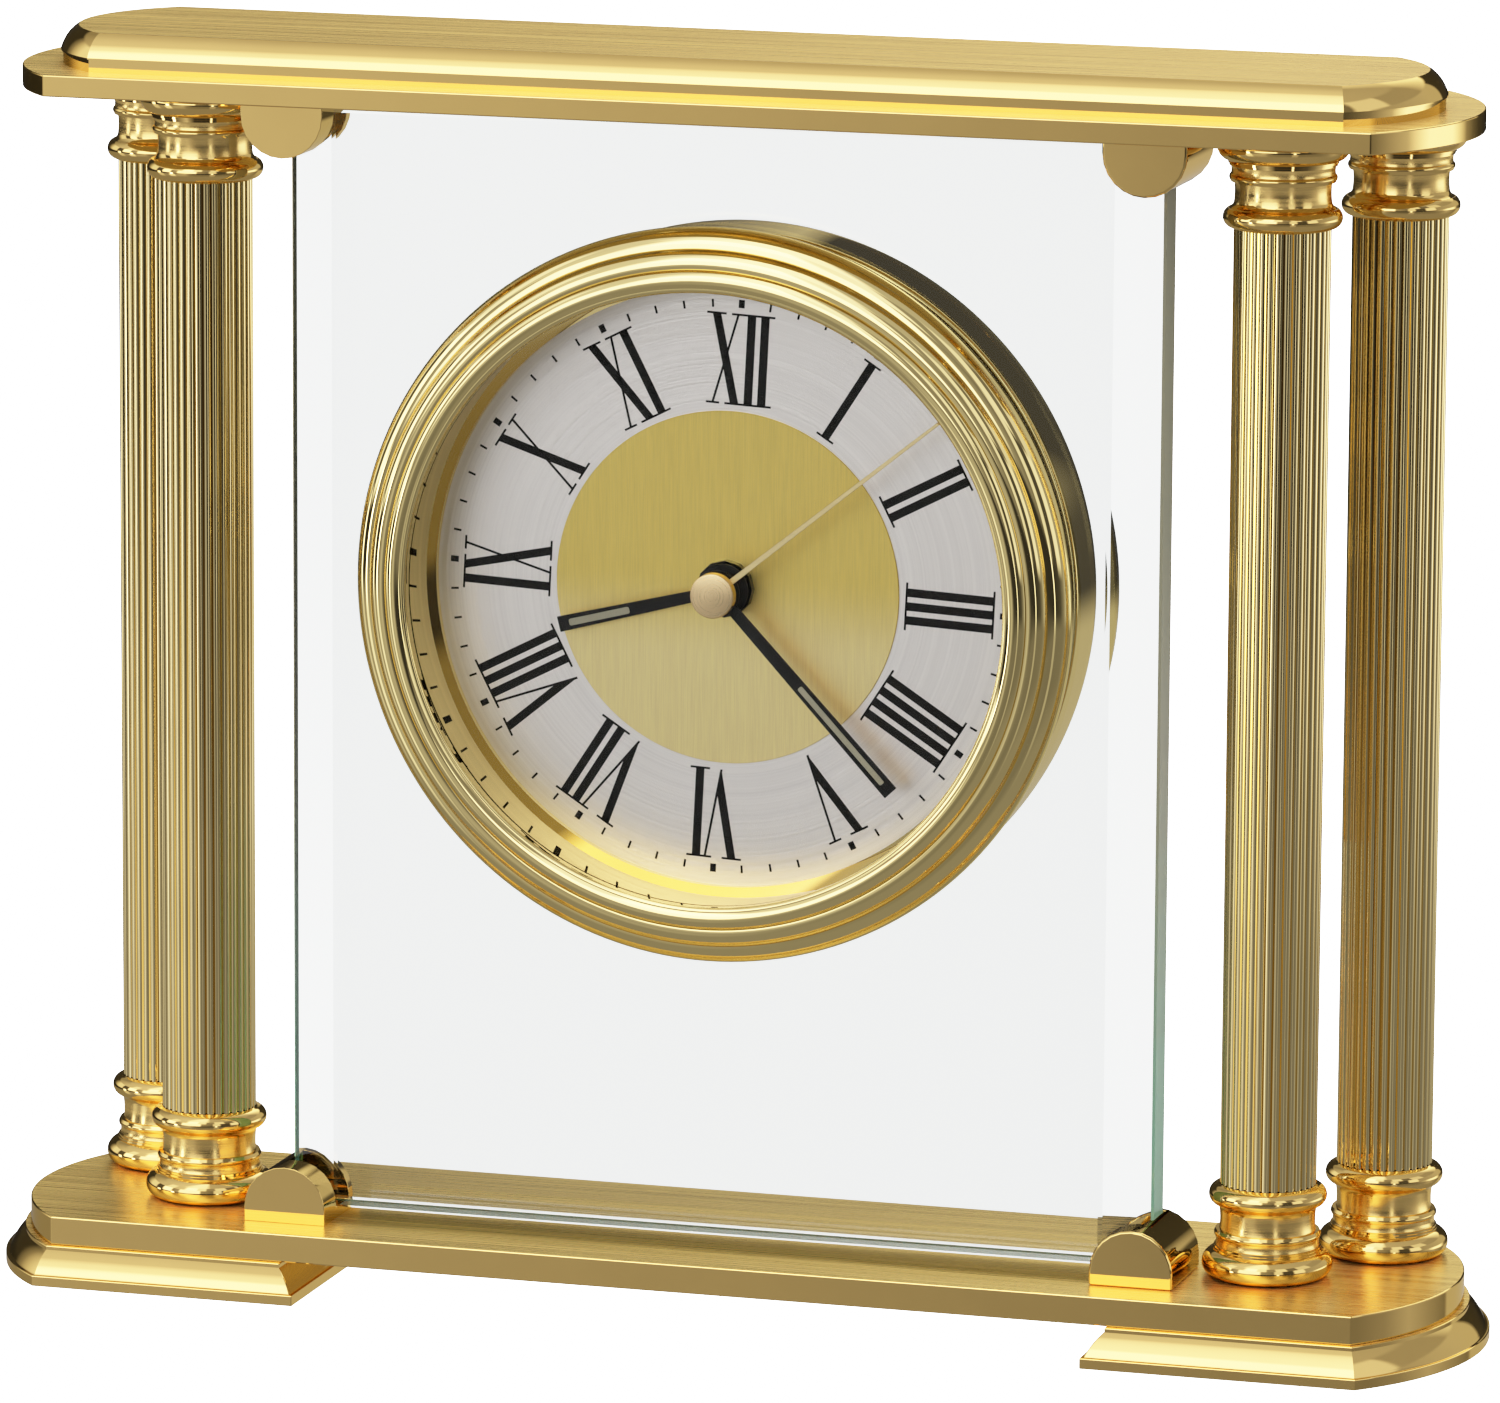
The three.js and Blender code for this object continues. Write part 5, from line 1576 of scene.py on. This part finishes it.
@dataclass
class Hand:
    """A flat hand that widens towards its tip, with a round hub."""

    name: str
    body: str
    clockwise: float
    back: float
    length: float
    hub: float
    bore: float
    root: float
    tip: float
    filling: Triple | None = None
    thickness: float = 0.4
    hub_steps: int = 48
    edge_rounding: float = 0.05
    bore_margin: float = 0.2
    corner: float = 60.0
    back_from: float = 0.9
    filling_height: float = 0.1
    filling_rise: float = -0.01
    filling_corner: float = 0.3
    filling_rounding: float = 0.03

    def outline(self, shape: BMesh) -> list[BMFace]:
        """Draw the hand flat, pointing along y.

        Args:
            shape: The empty mesh to draw in.

        Returns:
            Its faces.
        """
        start = math.asin(self.root / 2 / self.hub)
        right = shape.verts.new((self.hub * math.sin(start), self.hub * math.cos(start), 0))
        spun = bmesh.ops.spin(
            shape,
            geom=[right],
            cent=(0, 0, 0),
            axis=(0, 0, 1),
            angle=-(2 * math.pi - 2 * start),
            steps=self.hub_steps,
        )
        left = spun["geom_last"][0]
        corners = [shape.verts.new((side * self.tip / 2, self.length, 0)) for side in (-1, 1)]
        for pair in ((left, corners[0]), (corners[0], corners[1]), (corners[1], right)):
            shape.edges.new(pair)
        if self.bore:
            bmesh.ops.create_circle(shape, cap_ends=False, segments=SMALL_HOLE_STEPS, radius=self.bore)
        filled = bmesh.ops.triangle_fill(shape, use_beauty=True, use_dissolve=False, edges=shape.edges[:])
        return [part for part in filled["geom"] if isinstance(part, BMFace)]

    def place(self) -> Matrix:
        """Say where the flat hand's back goes."""
        turn = Matrix.Rotation(math.radians(self.clockwise), 4, "Y")
        return Matrix.Translation((0, self.back, HEAD_HEIGHT)) @ turn @ TO_FRONT

    def build(self, finishes: Sequence[Finish], slot: str) -> None:
        """Build the hand and its pale filling.

        Args:
            finishes: The front's finish and the back's.
            slot: The record's slot for the front.
        """
        shape = bmesh.new()
        faces = self.outline(shape)
        bmesh.ops.solidify(shape, geom=faces, thickness=-self.thickness)
        tidy(shape)
        bmesh.ops.transform(shape, matrix=self.place(), verts=shape.verts[:])
        tidy(shape)
        rim = [edge for edge in sharp_edges(shape, self.corner) if self.outside(edge)]
        soften(shape, rim, self.edge_rounding, segments=1)
        shape.normal_update()
        for face in shape.faces:
            if face.normal.y > self.back_from:
                face.material_index = len(finishes) - 1
        deliver_for(self.name, shape, finishes, slot, self.body)
        if self.filling:
            self.build_filling()

    def outside(self, edge: BMEdge) -> bool:
        """Tell whether an edge lies on the outline and not in the bore."""
        limit = self.bore + self.bore_margin
        return all(math.hypot(vert.co.x, vert.co.z - HEAD_HEIGHT) > limit for vert in edge.verts)

    def build_filling(self) -> None:
        """Build the pale strip let into the hand."""
        start, end, width = self.filling
        shape = bmesh.new()
        size = Matrix.Diagonal((width, end - start, self.filling_height, 1))
        middle = Matrix.Translation((0, (start + end) / 2, self.thickness + self.filling_rise))
        bmesh.ops.create_cube(shape, size=1, matrix=middle @ size)
        half = self.filling_height / 2
        corners = [edge for edge in shape.edges if abs(edge.verts[0].co.z - edge.verts[1].co.z) > half]
        soften(shape, corners, width * self.filling_corner, segments=4)
        rim = [edge for edge in sharp_edges(shape, self.corner) if edge.verts[0].co.z > self.thickness]
        soften(shape, rim, self.filling_rounding, segments=1)
        bmesh.ops.transform(shape, matrix=self.place(), verts=shape.verts[:])
        tidy(shape)
        Piece(f"{self.name}_filling", shape, (PALE_FILLING,), "white_plastic", (), self.body).deliver()


@dataclass
class Hands:
    """Hour, minute and second hands, and the disc that covers their centre."""

    hour: Hand = field(default_factory=lambda: Hand(
        "hour_hand", "hour_train", clockwise=255.5, back=-10.85, length=29.0,
        hub=4.4, bore=2.125, root=1.9, tip=2.6, filling=(16.3, 27.0, 1.15),
    ))
    minute: Hand = field(default_factory=lambda: Hand(
        "minute_hand", "minute_train", clockwise=136.8, back=-13.05, length=43.3,
        hub=3.7, bore=1.375, root=1.9, tip=2.6, filling=(20.5, 41.3, 0.95),
    ))
    second: Hand = field(default_factory=lambda: Hand(
        "second_hand", "second_train", clockwise=51.3, back=-15.25, length=48.3,
        hub=3.6, bore=0.625, root=1.0, tip=0.5,
    ))
    disc_radius: float = 3.7
    disc_thickness: float = 1.6
    disc_edge: float = 0.2
    disc_edge_bulge: float = 0.06
    disc_steps: int = 96

    def build(self) -> None:
        """Build the three hands and the disc."""
        for hand in (self.hour, self.minute):
            hand.build((BLACK_LACQUER, POLISHED_BRASS), "black_paint")
        self.second.build((SATIN_BRASS,), "polished_brass")
        self.build_disc()

    def build_disc(self) -> None:
        """Build the spun disc on the second hand."""
        front, back = self.second.back - self.disc_thickness, self.second.back
        contour = Contour(0.0, front)
        contour.line((self.disc_radius - self.disc_edge, front))
        contour.arc(self.disc_radius, front + self.disc_edge, self.disc_edge_bulge, steps=4)
        contour.line((self.disc_radius, back), (0.0, back))
        shape = contour.turn(self.disc_steps, closed=False)
        Piece("second_hand_disc", shape, (SPUN_BRASS,), "polished_brass", (), "second_train").deliver()


@dataclass
class Rear:
    """Rear cover with its battery door and setting knob."""

    flat_radius: float = 49.2
    front: float = 14.65
    back: float = 16.65
    round_radius: float = 10.0
    round_steps: int = 10
    window: tuple[float, float, float, float] = (-27.3, 27.3, 92.74, 110.75)
    knob_place: Pair = (16.628, 130.7)
    knob_hole: float = 1.3
    corner: float = 60.0
    door_rounding: float = 0.2
    knob_rounding: float = 0.25
    rim_tolerance: float = 0.1

    def build(self) -> None:
        """Build the cover, the door and the knob."""
        self.build_cover()
        door = merged_copy("battery_door")
        soften(door, sharp_edges(door, self.corner), self.door_rounding)
        deliver_for("battery_door", door, (LONG_BRUSHED_BRASS,), "brushed_brass", "door")
        knob = merged_copy("set_knob")
        corners = sharp_edges(knob, self.corner)
        outside = [edge for edge in corners if min(vert.co.y for vert in edge.verts) > self.back]
        soften(knob, outside, self.knob_rounding)
        deliver_for("set_knob", knob, (POLISHED_BRASS,), "polished_brass", "setting_knob")

    def build_cover(self) -> None:
        """Build the round cover, drawn flat with its back up, pierced, and then given its rounded edge."""
        shape = bmesh.new()
        bmesh.ops.create_circle(shape, cap_ends=False, segments=FULL_TURN_STEPS, radius=self.flat_radius)
        knob = Matrix.Translation((self.knob_place[0], self.knob_place[1] - HEAD_HEIGHT, 0))
        bmesh.ops.create_circle(
            shape, cap_ends=False, segments=SMALL_HOLE_STEPS, radius=self.knob_hole, matrix=knob
        )
        left, right, low, high = self.window
        middle = Matrix.Translation(((left + right) / 2, (low + high) / 2 - HEAD_HEIGHT, 0))
        size = Matrix.Diagonal(((right - left) / 2, (high - low) / 2, 1, 1))
        grid = bmesh.ops.create_grid(shape, x_segments=1, y_segments=1, size=1, matrix=middle @ size)
        pane = list({face for vert in grid["verts"] for face in vert.link_faces})
        bmesh.ops.delete(shape, geom=pane, context="FACES_ONLY")
        bmesh.ops.triangle_fill(shape, use_beauty=True, use_dissolve=False, edges=shape.edges[:])
        borders = [edge for edge in shape.edges if edge.is_boundary]
        rim = [edge for edge in borders if edge.verts[0].co.length > self.flat_radius - self.rim_tolerance]
        thickness = self.back - self.front
        self.drop(shape, [edge for edge in borders if edge not in rim], 1.0, thickness)
        full = math.acos(1 - thickness / self.round_radius)
        reach, depth = self.flat_radius, 0.0
        for step in range(1, self.round_steps + 1):
            angle = full * step / self.round_steps
            wider = self.flat_radius + self.round_radius * math.sin(angle)
            deeper = self.round_radius * (1 - math.cos(angle))
            rim = self.drop(shape, rim, wider / reach, deeper - depth)
            reach, depth = wider, deeper
        borders = [edge for edge in shape.edges if edge.is_boundary]
        bmesh.ops.triangle_fill(shape, use_beauty=True, use_dissolve=False, edges=borders)
        place = Matrix.Translation((0, self.back, HEAD_HEIGHT)) @ TO_BACK @ Matrix.Scale(-1, 4, (0, 1, 0))
        bmesh.ops.transform(shape, matrix=place, verts=shape.verts[:])
        tidy(shape)
        brush_flat_faces(shape, Vector((0, 1, 0)))
        deliver_for("rear_cover", shape, (POLISHED_BRASS, LONG_BRUSHED_BRASS), "brushed_brass")

    @staticmethod
    def drop(shape: BMesh, edges: Sequence[BMEdge], wider: float, deeper: float) -> list[BMEdge]:
        """Draw a wall down from some border edges.

        Args:
            shape: The flat cover.
            edges: The border to start from.
            wider: How many times wider its lower end is.
            deeper: How far down it goes.

        Returns:
            The lower end's edges.
        """
        grown = bmesh.ops.extrude_edge_only(shape, edges=edges)["geom"]
        verts = [part for part in grown if isinstance(part, BMVert)]
        bmesh.ops.scale(shape, vec=(wider, wider, 1), verts=verts)
        bmesh.ops.translate(shape, vec=(0, 0, -deeper), verts=verts)
        return [part for part in grown if isinstance(part, BMEdge)]


@dataclass
class Movement:
    """The works inside the drum, which keep the shapes that they have in the CAD model."""

    finishes: Mapping[str, Finish] = field(default_factory=lambda: {
        "movement_case": BLACK_PLASTIC,
        "movement_cover": BLACK_PLASTIC,
        "battery": GREY_SLEEVE,
        "circuit_board": GREEN_BOARD,
        "stepper_coil": COPPER_WIRE,
        "rotor": DULL_STEEL,
        "hour_wheel": POLISHED_BRASS,
        "minute_wheel": POLISHED_BRASS,
        "second_wheel": POLISHED_BRASS,
        "motion_wheel": WHITE_PLASTIC,
        "third_wheel": WHITE_PLASTIC,
        "intermediate_wheel": WHITE_PLASTIC,
    })

    def dress(self) -> None:
        """Dress every piece of the works."""
        for node, finish in self.finishes.items():
            dress_node(node, finish)


@dataclass
class Studio:
    """Pale floor, soft light all round, and the camera."""

    eye: Triple = (476.3154, -1589.3605, 412.8203)
    yaw: float = 16.632
    pitch: float = -10.657
    roll: float = 0.3198
    lens: float = 245.378
    sensor_width: float = 36.0
    floor_radius: float = 9.0
    floor_steps: int = 96
    floor_glow: float = 4.6
    floor_colour: float = 0.2
    full_white: float = 3.5
    exposure_steps: int = 14
    backdrop: float = 5.0
    below: float = 0.3
    below_edge: Pair = (0.35, 0.6)
    ring_edges: Sequence[Pair] = ((-0.22, -0.15), (-0.05, 0.04), (0.37, 0.42), (0.66, 0.72))
    behind: Levels = ((0.03, 1.67), (0.0375, 1.45), (0.056, 1.45), (0.063, 1.67))
    table_ring: Levels = (
        (0.0, 0.57), (0.045, 0.55), (0.06, 0.28), (0.25, 0.3), (0.26, 0.9), (0.29, 0.9), (0.3, 0.4),
        (0.335, 0.4), (0.343, 1.5), (0.372, 1.5), (0.38, 0.5), (0.427, 0.52), (0.443, 0.48),
        (0.463, 0.28), (0.5, 0.22), (0.575, 0.2), (0.582, 0.5), (0.605, 0.5), (0.612, 0.2),
        (0.73, 0.22), (0.775, 0.3), (0.82, 0.5), (0.865, 0.34), (0.909, 0.21), (0.916, 0.57),
        (1.0, 0.57),
    )
    low_ring: Levels = (
        (0.0, 0.02), (0.25, 0.03), (0.264, 4.5), (0.275, 4.5), (0.28, 0.03), (0.348, 0.03),
        (0.353, 9.0), (0.364, 9.0), (0.369, 0.12), (0.41, 0.4), (0.443, 0.75), (0.453, 0.53),
        (0.463, 0.35), (0.49, 0.04), (0.585, 0.03), (0.588, 3.2), (0.595, 3.2), (0.599, 0.03),
        (0.68, 0.08), (0.73, 0.25), (0.78, 0.65), (0.8, 1.5), (0.82, 2.35), (0.87, 2.4), (0.887, 1.45),
        (0.909, 0.32), (0.932, 0.14), (0.954, 0.06), (1.0, 0.02),
    )
    middle_ring: Levels = (
        (0.0, 0.04), (0.028, 0.04), (0.034, 0.6), (0.042, 0.4), (0.052, 0.1), (0.06, 0.04),
        (0.14, 0.04), (0.16, 0.3), (0.2, 1.3), (0.24, 1.3), (0.25, 0.1), (0.29, 0.1), (0.3, 3.0),
        (0.345, 3.0), (0.355, 0.3), (0.39, 0.5), (0.4, 2.7), (0.5, 2.7), (0.51, 0.4), (0.57, 0.2),
        (0.58, 1.2), (0.61, 1.2), (0.62, 0.08), (0.67, 0.08), (0.68, 1.4), (0.73, 1.4), (0.74, 0.4),
        (0.9, 0.6), (0.945, 0.6), (0.952, 0.05), (1.0, 0.04),
    )
    high_ring: Levels = (
        (0.0, 2.4), (0.03, 2.4), (0.042, 1.3), (0.055, 0.45), (0.12, 0.3), (0.25, 0.8), (0.3, 0.8),
        (0.31, 1.6), (0.35, 1.6), (0.36, 0.9), (0.41, 1.0), (0.43, 3.2), (0.48, 3.2), (0.49, 1.7),
        (0.53, 1.7), (0.54, 0.35), (0.58, 0.35), (0.59, 1.3), (0.64, 1.3), (0.65, 0.2), (0.7, 0.2),
        (0.71, 1.0), (0.78, 1.0), (0.79, 0.4), (0.9, 0.4), (0.95, 1.2), (1.0, 2.4),
    )
    top_ring: Levels = (
        (0.0, 1.3), (0.1, 0.6), (0.25, 0.8), (0.39, 1.0), (0.41, 1.7), (0.45, 2.3), (0.53, 2.0),
        (0.56, 0.6), (0.9, 0.5), (1.0, 1.3),
    )

    def build(self) -> None:
        """Set up exposure, floor, light and camera."""
        self.build_exposure()
        self.build_floor()
        self.build_light()
        self.build_camera()

    def build_exposure(self) -> None:
        """Let bright light run softly into white, as film does."""
        settings = bpy.context.scene.view_settings
        settings.view_transform = "Standard"
        settings.use_curve_mapping = True
        mapping = settings.curve_mapping
        mapping.extend = "HORIZONTAL"
        mapping.white_level = (self.full_white,) * 3
        for step in range(1, self.exposure_steps):
            share = (step / self.exposure_steps) ** 2
            level = math.tanh(self.full_white * share) / math.tanh(self.full_white)
            mapping.curves[3].points.new(share, level)
        mapping.update()

    def met_none(self, bench: NodeBench, *kinds: str) -> Wire:
        """Tell the rays that have met no surface of some kinds.

        Args:
            bench: Where the nodes go.
            kinds: Outputs of the light path that count meetings.

        Returns:
            1 for a ray that has met none, 0 for any other.
        """
        met = [bench.node("ShaderNodeLightPath", out=kind) for kind in kinds]
        return bench.node("ShaderNodeMath", {"operation": "LESS_THAN"}, {0: sum(met), 1: 0.5})

    def build_floor(self) -> None:
        """Lay the floor, which glows a little and takes soft shadows."""
        shape = bmesh.new()
        bmesh.ops.create_circle(shape, cap_ends=True, segments=self.floor_steps, radius=self.floor_radius)
        mesh = bpy.data.meshes.new("floor")
        shape.to_mesh(mesh)
        shape.free()
        paper = bpy.data.materials.new("floor_paper")
        paper.use_nodes = True
        bench = NodeBench(paper.node_tree)
        level = self.floor_colour
        sheet = bench.node("ShaderNodeBsdfPrincipled", None, {
            "Base Color": (level, level, level, 1.0),
            "Roughness": 1.0,
            "Specular IOR Level": 0.0,
            "Emission Color": (*WHITE, 1.0),
            "Emission Strength": self.floor_glow,
        })
        clear = bench.node("ShaderNodeBsdfTransparent")
        plain = self.met_none(bench, "Glossy Depth", "Diffuse Depth", "Transmission Depth")
        seen = bench.node("ShaderNodeMixShader", None, {0: plain, 1: clear, 2: sheet})
        bench.node("ShaderNodeOutputMaterial", None, {"Surface": seen})
        mesh.materials.append(paper)
        floor = bpy.data.objects.new("floor", mesh)
        floor.visible_glossy = False
        floor.visible_diffuse = False
        floor.visible_shadow = False
        bpy.context.scene.collection.objects.link(floor)

    def build_light(self) -> None:
        """Surround the clock with soft boxes, drawn as levels of light by direction."""
        world = bpy.data.worlds.new("soft_studio")
        world.use_nodes = True
        bpy.context.scene.world = world
        bench = NodeBench(world.node_tree)
        direction = bench.node("ShaderNodeTexCoord", out="Generated")
        across, inward, upward = (
            bench.node("ShaderNodeSeparateXYZ", None, {0: direction}, out=axis) for axis in "XYZ"
        )
        bearing = bench.node("ShaderNodeMath", {"operation": "ARCTAN2"}, {0: across, 1: inward * -1.0})
        around = bearing / (2 * math.pi) + 0.5
        rings = self.table_ring, self.low_ring, self.middle_ring, self.high_ring, self.top_ring
        behind, lit, *higher = (
            bench.node("ShaderNodeValToRGB", {"stops": stops}, {0: around}) for stops in (self.behind, *rings)
        )
        for (start, end), ring in zip(self.ring_edges, higher):
            lit = bench.blend(bench.between(upward, start, end), lit, ring)
        lit = bench.blend(bench.between(upward * -1.0, *self.below_edge), lit, (self.below,) * 3)
        clear = self.met_none(bench, "Transmission Depth")
        plain = self.met_none(bench, "Glossy Depth", "Diffuse Depth")
        seen = bench.blend(plain, lit, bench.blend(clear, behind, (self.backdrop,) * 3))
        light = bench.node("ShaderNodeBackground", None, {"Color": seen, "Strength": 1.0})
        bench.node("ShaderNodeOutputWorld", None, {"Surface": light})

    def build_camera(self) -> None:
        """Stand the camera where the picture was taken from."""
        yaw, pitch, roll = (math.radians(angle) for angle in (self.yaw, self.pitch, self.roll))
        ahead = Vector((-math.sin(yaw) * math.cos(pitch), math.cos(yaw) * math.cos(pitch), math.sin(pitch)))
        right = Vector((math.cos(yaw), math.sin(yaw), 0))
        up = right.cross(ahead)
        across = right * math.cos(roll) + up * math.sin(roll)
        upright = up * math.cos(roll) - right * math.sin(roll)
        turn = Matrix((across, upright, -ahead)).transposed().to_4x4()
        data = bpy.data.cameras.new("camera")
        data.sensor_fit = "HORIZONTAL"
        data.sensor_width = self.sensor_width
        data.lens = self.lens
        camera = bpy.data.objects.new("camera", data)
        camera.matrix_world = Matrix.Translation(Vector(self.eye) * MM) @ turn
        bpy.context.scene.collection.objects.link(camera)
        bpy.context.scene.camera = camera


def main() -> None:
    """Build the clock's sub-assemblies in order, then the studio."""
    logging.basicConfig(level=logging.INFO, format="%(message)s")
    Stand().build()
    Columns().build()
    GlassPanel().build()
    Head().build()
    Hands().build()
    Rear().build()
    Movement().dress()
    Studio().build()


if __name__ == "__main__":
    main()
